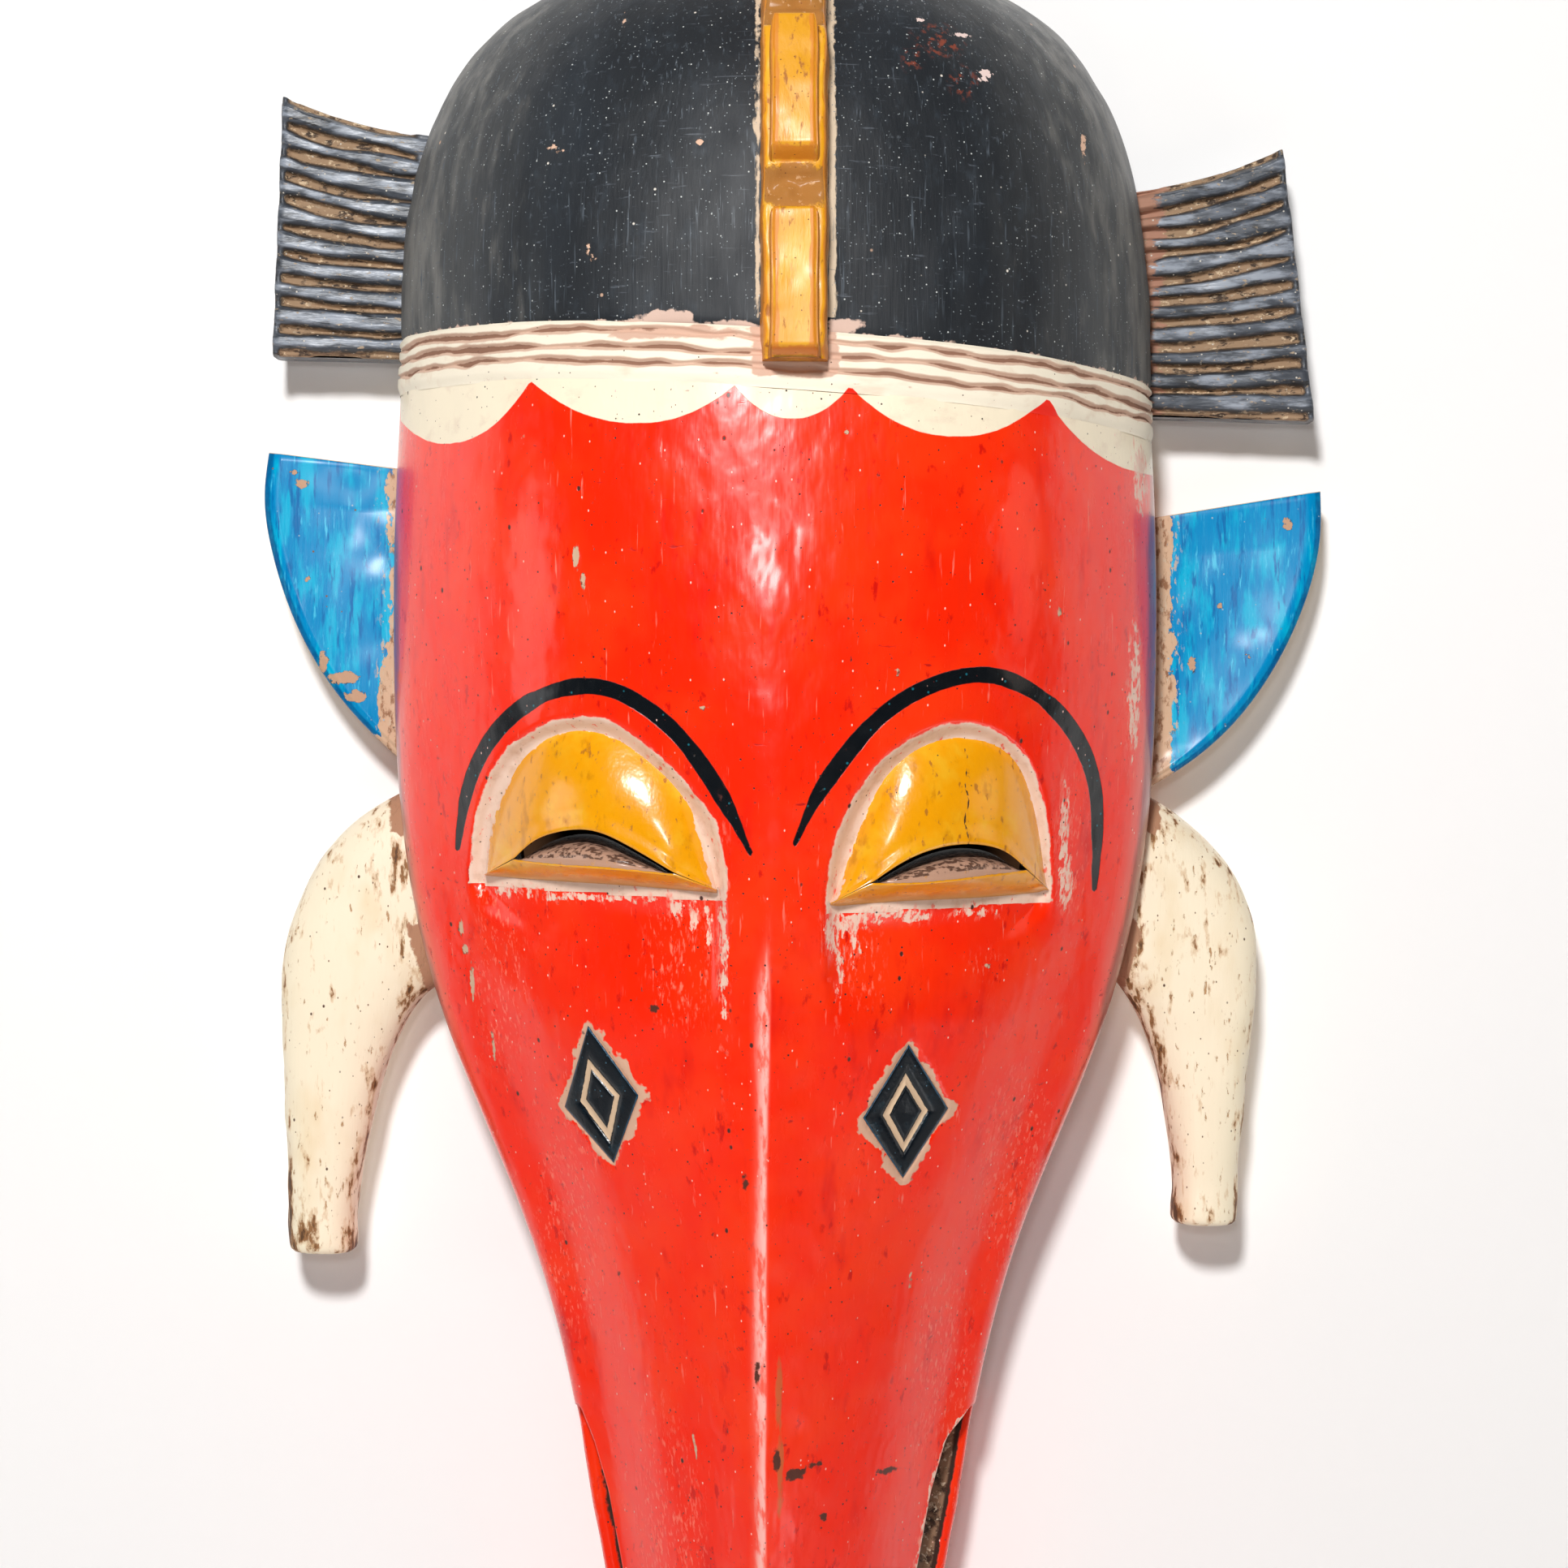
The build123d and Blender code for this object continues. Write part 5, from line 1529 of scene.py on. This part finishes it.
def make_horn(name, paint):
    """A cheek horn: a rounded drop that leaves the face broad and ends in a foot with a flat sole."""
    side = SIDES[name]
    share = np.linspace(0, 1, 130)
    down = share[:, None]
    outer, inner = along_path(HORN_OUTER[name], share), along_path(HORN_INNER[name], share)
    turn = np.linspace(0, 2 * math.pi, 72, endpoint=False)
    across = 0.5 + 0.5 * np.sign(np.cos(turn)) * np.abs(np.cos(turn)) ** 0.72
    flare = 0.7 * ramp(down, 0.90, 0.97) * (across - 0.5)
    thick = 8.6 - 0.9 * down + 0.7 * ramp(down, 0.9, 1.0)
    shape = np.sign(np.sin(turn)) * np.abs(np.sin(turn)) ** 0.8
    x = inner[:, :1] + across * (outer - inner)[:, :1] + side * flare
    y = np.minimum(HORN_MIDDLE_Y + thick * shape, PLATE_BACK_Y)
    z = inner[:, 1:] + across * (outer - inner)[:, 1:]
    x, y = (values + 0.3 * wander(turn * 9, z, 8, seed + side) for values, seed in ((x, 130), (y, 131)))
    rings = np.stack([x, y, z], axis=2)
    last = rings[-1]
    middle = last.mean(axis=0)
    sole = [middle + (last - middle) * scale - (0, 0, drop) for drop, scale in SOLE]
    rings = np.concatenate([rings, sole])
    down = np.r_[share, np.ones(len(SOLE))][:, None]
    x, z = rings[:, :, 0], rings[:, :, 2]
    from_face = np.abs(x) - 1.035 * form(z)[0] + 1.0
    # Browner towards the foot and beside the face, and along the horn's inner and outer edges.
    worn = 0.25 * wander(x * 0.7, z * 0.25, 5, 133)
    worn = worn + 0.45 * ramp(down, 0.86, 1.02) + 0.35 * ramp(0.28 - across, 0, 0.25) * ramp(down, 0.1, 0.35)
    worn = worn + 0.55 * (1 - ramp(from_face, -1, 9))
    worn = worn + 0.25 * ramp(0.16 - np.minimum(across, 1 - across), 0, 0.12)
    outer_edge = ramp(across - 0.5, 0.2, 0.46) * ramp(down, 0.12, 0.3)
    worn = worn + 0.30 * outer_edge * (0.4 + 0.6 * ramp(down, 0.4, 0.7))
    seam = 1.4 - np.maximum(from_face, 0) - 2 * (np.abs(z + 188) < 10)
    carving = Carving(f"horn_{name}_wood")
    carving.add(rings, {"worn": worn, "seam": seam}, closed=True, flip=side > 0)
    carving.finish(paint, f"horn_{name}")


# ---- The crest ----

KEEL_SPAN = (-8.0, 78.0)
KEEL_WIDTH = 14.0
KEEL_RISE = 8.0
BLOCK_RISE = 5.0
BLOCK_SPANS = {"lower": (-8.0, 7.0), "middle": (11.4, 30.3), "upper": (37.0, 66.0)}
NOTCHES = ((7.0, 11.4), (30.3, 37.0))  # angles of the keel's notches, from end to end


def crest_point(angle, rise):
    """y and z over the crown's middle line, raised by rise, at an angle up from the crown's base."""
    power = 2 / CROWN_ROUNDNESS
    depth, height = STATIONS[0][2] + rise, APEX_Z - CROWN_BASE_Z + rise
    up = np.radians(np.maximum(angle, 0))
    y = -depth * np.cos(up) ** power
    z = CROWN_BASE_Z + height * np.sin(up) ** power
    return y, z + np.minimum(angle, 0)


def crest_length(angles, rise):
    """Distances along the crest at the given angles."""
    y, z = crest_point(angles, rise)
    return np.r_[0, np.cumsum(np.hypot(np.diff(y), np.diff(z)))]


def crest_angles(start, end, count):
    """Angles that are evenly spaced along the crest."""
    fine = np.linspace(start, end, 2000)
    along = crest_length(fine, KEEL_RISE)
    return np.interp(np.linspace(0, along[-1], count), along, fine)


def crest_strip(angles, half_width, low, high, shoulder, taper):
    """Open rings of a strip over the crown: up one flank, over the top and down the other."""
    flank = np.r_[np.linspace(0, 1, 7)[:-1], 1 - 0.5 * shoulder / 6]
    rise = np.r_[flank, np.ones(16), flank[::-1]]
    across = np.r_[-np.ones(6), -0.985, np.linspace(-1, 1, 16) * 0.93, 0.985, np.ones(6)]
    up = low + (high[:, None] - low) * rise
    y, z = crest_point(angles[:, None], up)
    x = KEEL_X + across * (half_width[:, None] - taper * rise)
    return np.stack([x, y, z], axis=2), across, rise


def last_row(points):
    """Numbers of the points in a grid's last row."""
    rows, columns = points.shape[:2]
    return np.arange(columns) + (rows - 1) * columns


def finish_strip(name, rings, fields, paint, node):
    """Makes a piece of the crest from its rings and closes its ends."""
    carving = Carving(name)
    carving.add(rings, fields, flip=True)
    carving.cap(np.arange(rings.shape[1]), flip=False)
    carving.cap(last_row(rings), flip=True)
    carving.finish(paint, node)


def make_keel(paint):
    """The keel under the blocks, with a rough notch between each two of them."""
    angles = crest_angles(*KEEL_SPAN, 220)
    _, z = crest_point(angles, KEEL_RISE)
    row = np.arange(len(angles))
    ends = ramp(row, 0, 5) * ramp(row[::-1], 0, 5)
    gap = np.max([np.minimum(angles - start, end - angles) for start, end in NOTCHES], axis=0)
    gap = np.maximum(gap, -FAR)
    notch = ramp(gap, -0.2, 1.2)
    rough = 0.5 * wander(z, 0, 2.0, 140) + 0.5
    high = KEEL_RISE - 1.6 * notch * rough - 3.0 * (1 - ends)
    half = KEEL_WIDTH / 2 + 0.25 * wander(z, 0, 9, 141)
    rings, across, rise = crest_strip(angles, half, -3.0, high, 1.0, 0.7)
    rings[:, :, 0] += 0.2 * wander(rings[:, :, 2], rise * 9, 3, 142)
    rings[:, :, 1] += 0.25 * wander(rings[:, :, 0], rings[:, :, 2], 2.5, 143) * (1 + 2 * notch[:, None])
    top = np.abs(across) < 0.95
    fields = {
        "notch": np.where(top, gap[:, None] + 0.3, -FAR) - 0.4 * (1 - np.cos(across * 3)),
        "flank": np.where(top, -1.0, 0.8),
        "arris": np.where(np.abs(np.abs(across) - 0.96) < 0.05, 0.1, -0.9),
        "seam": 0.7 - np.abs(rise * 11 - 3.2) * 0.9 + np.where(across > 0, 0.2, -0.5),
    }
    finish_strip("keel", rings, fields, paint, "crest_keel")


def make_block(name, paint):
    """A raised block on the keel, with bevelled ends and arrises."""
    angles = crest_angles(*BLOCK_SPANS[name], 70)
    along = crest_length(angles, KEEL_RISE + BLOCK_RISE)
    near = np.minimum(along, along[-1] - along)
    high = KEEL_RISE - 1.5 + (BLOCK_RISE + 1.3) * ramp(near, -0.8, 2.0) + 0.25 * wander(along, 0, 7, 150)
    half = 5.4 + 0.2 * wander(along, 0, 8, 151)
    rings, across, _ = crest_strip(angles, half, KEEL_RISE - 3.5, high, 2.5, 1.0)
    rings[:, :, 1] += 0.2 * wander(rings[:, :, 0], rings[:, :, 2], 4, 152)
    from_edge = np.minimum((1 - np.abs(across)) * 5.2, near[:, None])
    fields = {
        "notch": -FAR,
        "seam": -FAR,
        "flank": np.where(np.abs(across) > 0.95, 0.6, -0.9),
        "arris": 0.55 - np.abs(from_edge - 0.9) * 0.9,
    }
    finish_strip(f"crest_block_{name}_wood", rings, fields, paint, f"crest_block_{name}")


# ---- The scene ----

def make_mask():
    """Every piece of the mask."""
    red, ochre, lid, inner = red_paint(), ochre_paint(), lid_paint(), inner_wood()
    comb, blue, horn, diamond = comb_paint(), blue_paint(), horn_paint(), diamond_paint()
    make_face(red)
    make_lower_beak(red)
    make_crown(black_paint())
    make_band(cream_band_paint())
    make_crown_inside(inner)
    band_low = BAND_TOP_Z - BAND_HEIGHT
    band_levels = np.linspace(BAND_TOP_Z, band_low, 8)
    face_levels = np.r_[np.linspace(band_low, -120, 26), np.arange(-121.5, MOUTH_TOP_Z, -1.5), MOUTH_TOP_Z]
    make_inside(inner, "band_inside", "brow_band", band_levels, band_z)
    make_inside(inner, "face_inside", "face_shell", face_levels, tilt_face)
    make_keel(ochre)
    for name in BLOCK_SPANS:
        make_block(name, ochre)
    for name in SIDES:
        make_eyelid(name, lid)
        make_diamond(name, diamond)
        make_comb(name, comb)
        make_ear(name, blue)
        make_horn(name, horn)


def stage_plane(name, corners, material):
    """One flat piece of the stage. The wall casts no shadow, so light reaches the hollow from behind."""
    mesh = bpy.data.meshes.new(name)
    mesh.from_pydata(corners, [], [(0, 1, 2, 3)])
    mesh.materials.append(material)
    plane = bpy.data.objects.new(name, mesh)
    plane.visible_shadow = name != "wall"
    bpy.context.scene.collection.objects.link(plane)


STAGE_REACH = 2.5  # in metres, as the next two are
FLOOR_Z, WALL_TOP_Z = -0.9, 2.2
WALL_Y = 0.0012


def make_stage():
    """A pale floor, and a pale wall behind the mask that is only there from in front.

    The wall is dark behind the mask's hollow, where no light reaches it.
    """
    plaster = Finish("plaster", (250, 249, 248), 0.9)
    split = plaster.tree.nodes.new("ShaderNodeSeparateXYZ")
    plaster.put(plaster.place, split.inputs[0])
    across = plaster.math("DIVIDE", split.outputs[0], 60 * MM)
    up = plaster.math("DIVIDE", plaster.math("ADD", split.outputs[2], 150 * MM), 95 * MM)
    from_hollow = plaster.math("ADD", plaster.math("POWER", across, 2.0), plaster.math("POWER", up, 2.0))
    plaster.layer(plaster.step(from_hollow, 1.0, 0.7), (4, 3, 3))
    plaster.done(specular=0.1)
    nodes, links = plaster.tree.nodes, plaster.tree.links
    clear = nodes.new("ShaderNodeBsdfTransparent")
    side = nodes.new("ShaderNodeNewGeometry")
    mix = nodes.new("ShaderNodeMixShader")
    links.new(side.outputs["Backfacing"], mix.inputs[0])
    links.new(nodes["Principled BSDF"].outputs[0], mix.inputs[1])
    links.new(clear.outputs[0], mix.inputs[2])
    links.new(mix.outputs[0], nodes["Material Output"].inputs[0])
    corners = ((-1, 0), (1, 0), (1, 1), (-1, 1))
    height = WALL_TOP_Z - FLOOR_Z
    wall = [(u * STAGE_REACH, WALL_Y, FLOOR_Z + v * height) for u, v in corners]
    floor = [(u * STAGE_REACH, (2 * v - 1) * STAGE_REACH, FLOOR_Z) for u, v in corners]
    stage_plane("wall", wall, plaster.material)
    stage_plane("floor", floor, plaster.material)


def area_light(name, place, target, size, power, colour=(1, 1, 1)):
    """A round lamp at a place, turned to its target, all in metres and watts."""
    light = bpy.data.lights.new(name, "AREA")
    light.shape, light.size, light.energy, light.color = "DISK", size, power, colour
    lamp = bpy.data.objects.new(name, light)
    bpy.context.scene.collection.objects.link(lamp)
    lamp.location = place
    lamp.rotation_euler = (Vector(target) - Vector(place)).to_track_quat("-Z", "Y").to_euler()


def make_lights():
    """Soft studio lamps and a dim, warm surround."""
    middle = (0.0, -0.05, -0.17)
    warm = (1.0, 0.86, 0.74)
    area_light("key", (-0.12, -1.00, 0.29), middle, 0.13, 10.3)
    area_light("front", (-0.04, -0.90, -0.08), middle, 0.07, 0.75)
    area_light("low", (0.02, -0.85, -0.62), (0.0, -0.06, -0.30), 0.20, 0.25, warm)
    area_light("left", (-0.85, -0.30, -0.15), middle, 0.35, 0.6)
    area_light("right", (0.85, -0.30, -0.10), middle, 0.35, 0.32, warm)
    area_light("corner", (0.62, -0.40, -0.80), (0.16, 0.0, -0.32), 0.25, 0.3)
    area_light("back", (0.3, 1.2, 0.5), middle, 1.2, 12)
    world = bpy.data.worlds.new("studio")
    world.use_nodes = True
    surround = world.node_tree.nodes["Background"]
    surround.inputs[0].default_value = (1.0, 0.84, 0.70, 1.0)
    surround.inputs[1].default_value = 0.022
    bpy.context.scene.world = world
    bpy.context.scene.view_settings.view_transform = "Standard"


CAMERA_PLACE = (1.95, -760.0, -167.3)
LENS, SENSOR = 77.5, 36.0


def make_camera():
    """Straight on, level with the brows and close, as the mask is looked at on its wall."""
    camera = bpy.data.cameras.new("camera")
    camera.lens, camera.sensor_width, camera.sensor_height = LENS, SENSOR, SENSOR
    view = bpy.data.objects.new("camera", camera)
    bpy.context.scene.collection.objects.link(view)
    view.location = [v * MM for v in CAMERA_PLACE]
    view.rotation_euler = (math.pi / 2, 0, 0)
    bpy.context.scene.camera = view


make_camera()
make_mask()
make_stage()
make_lights()
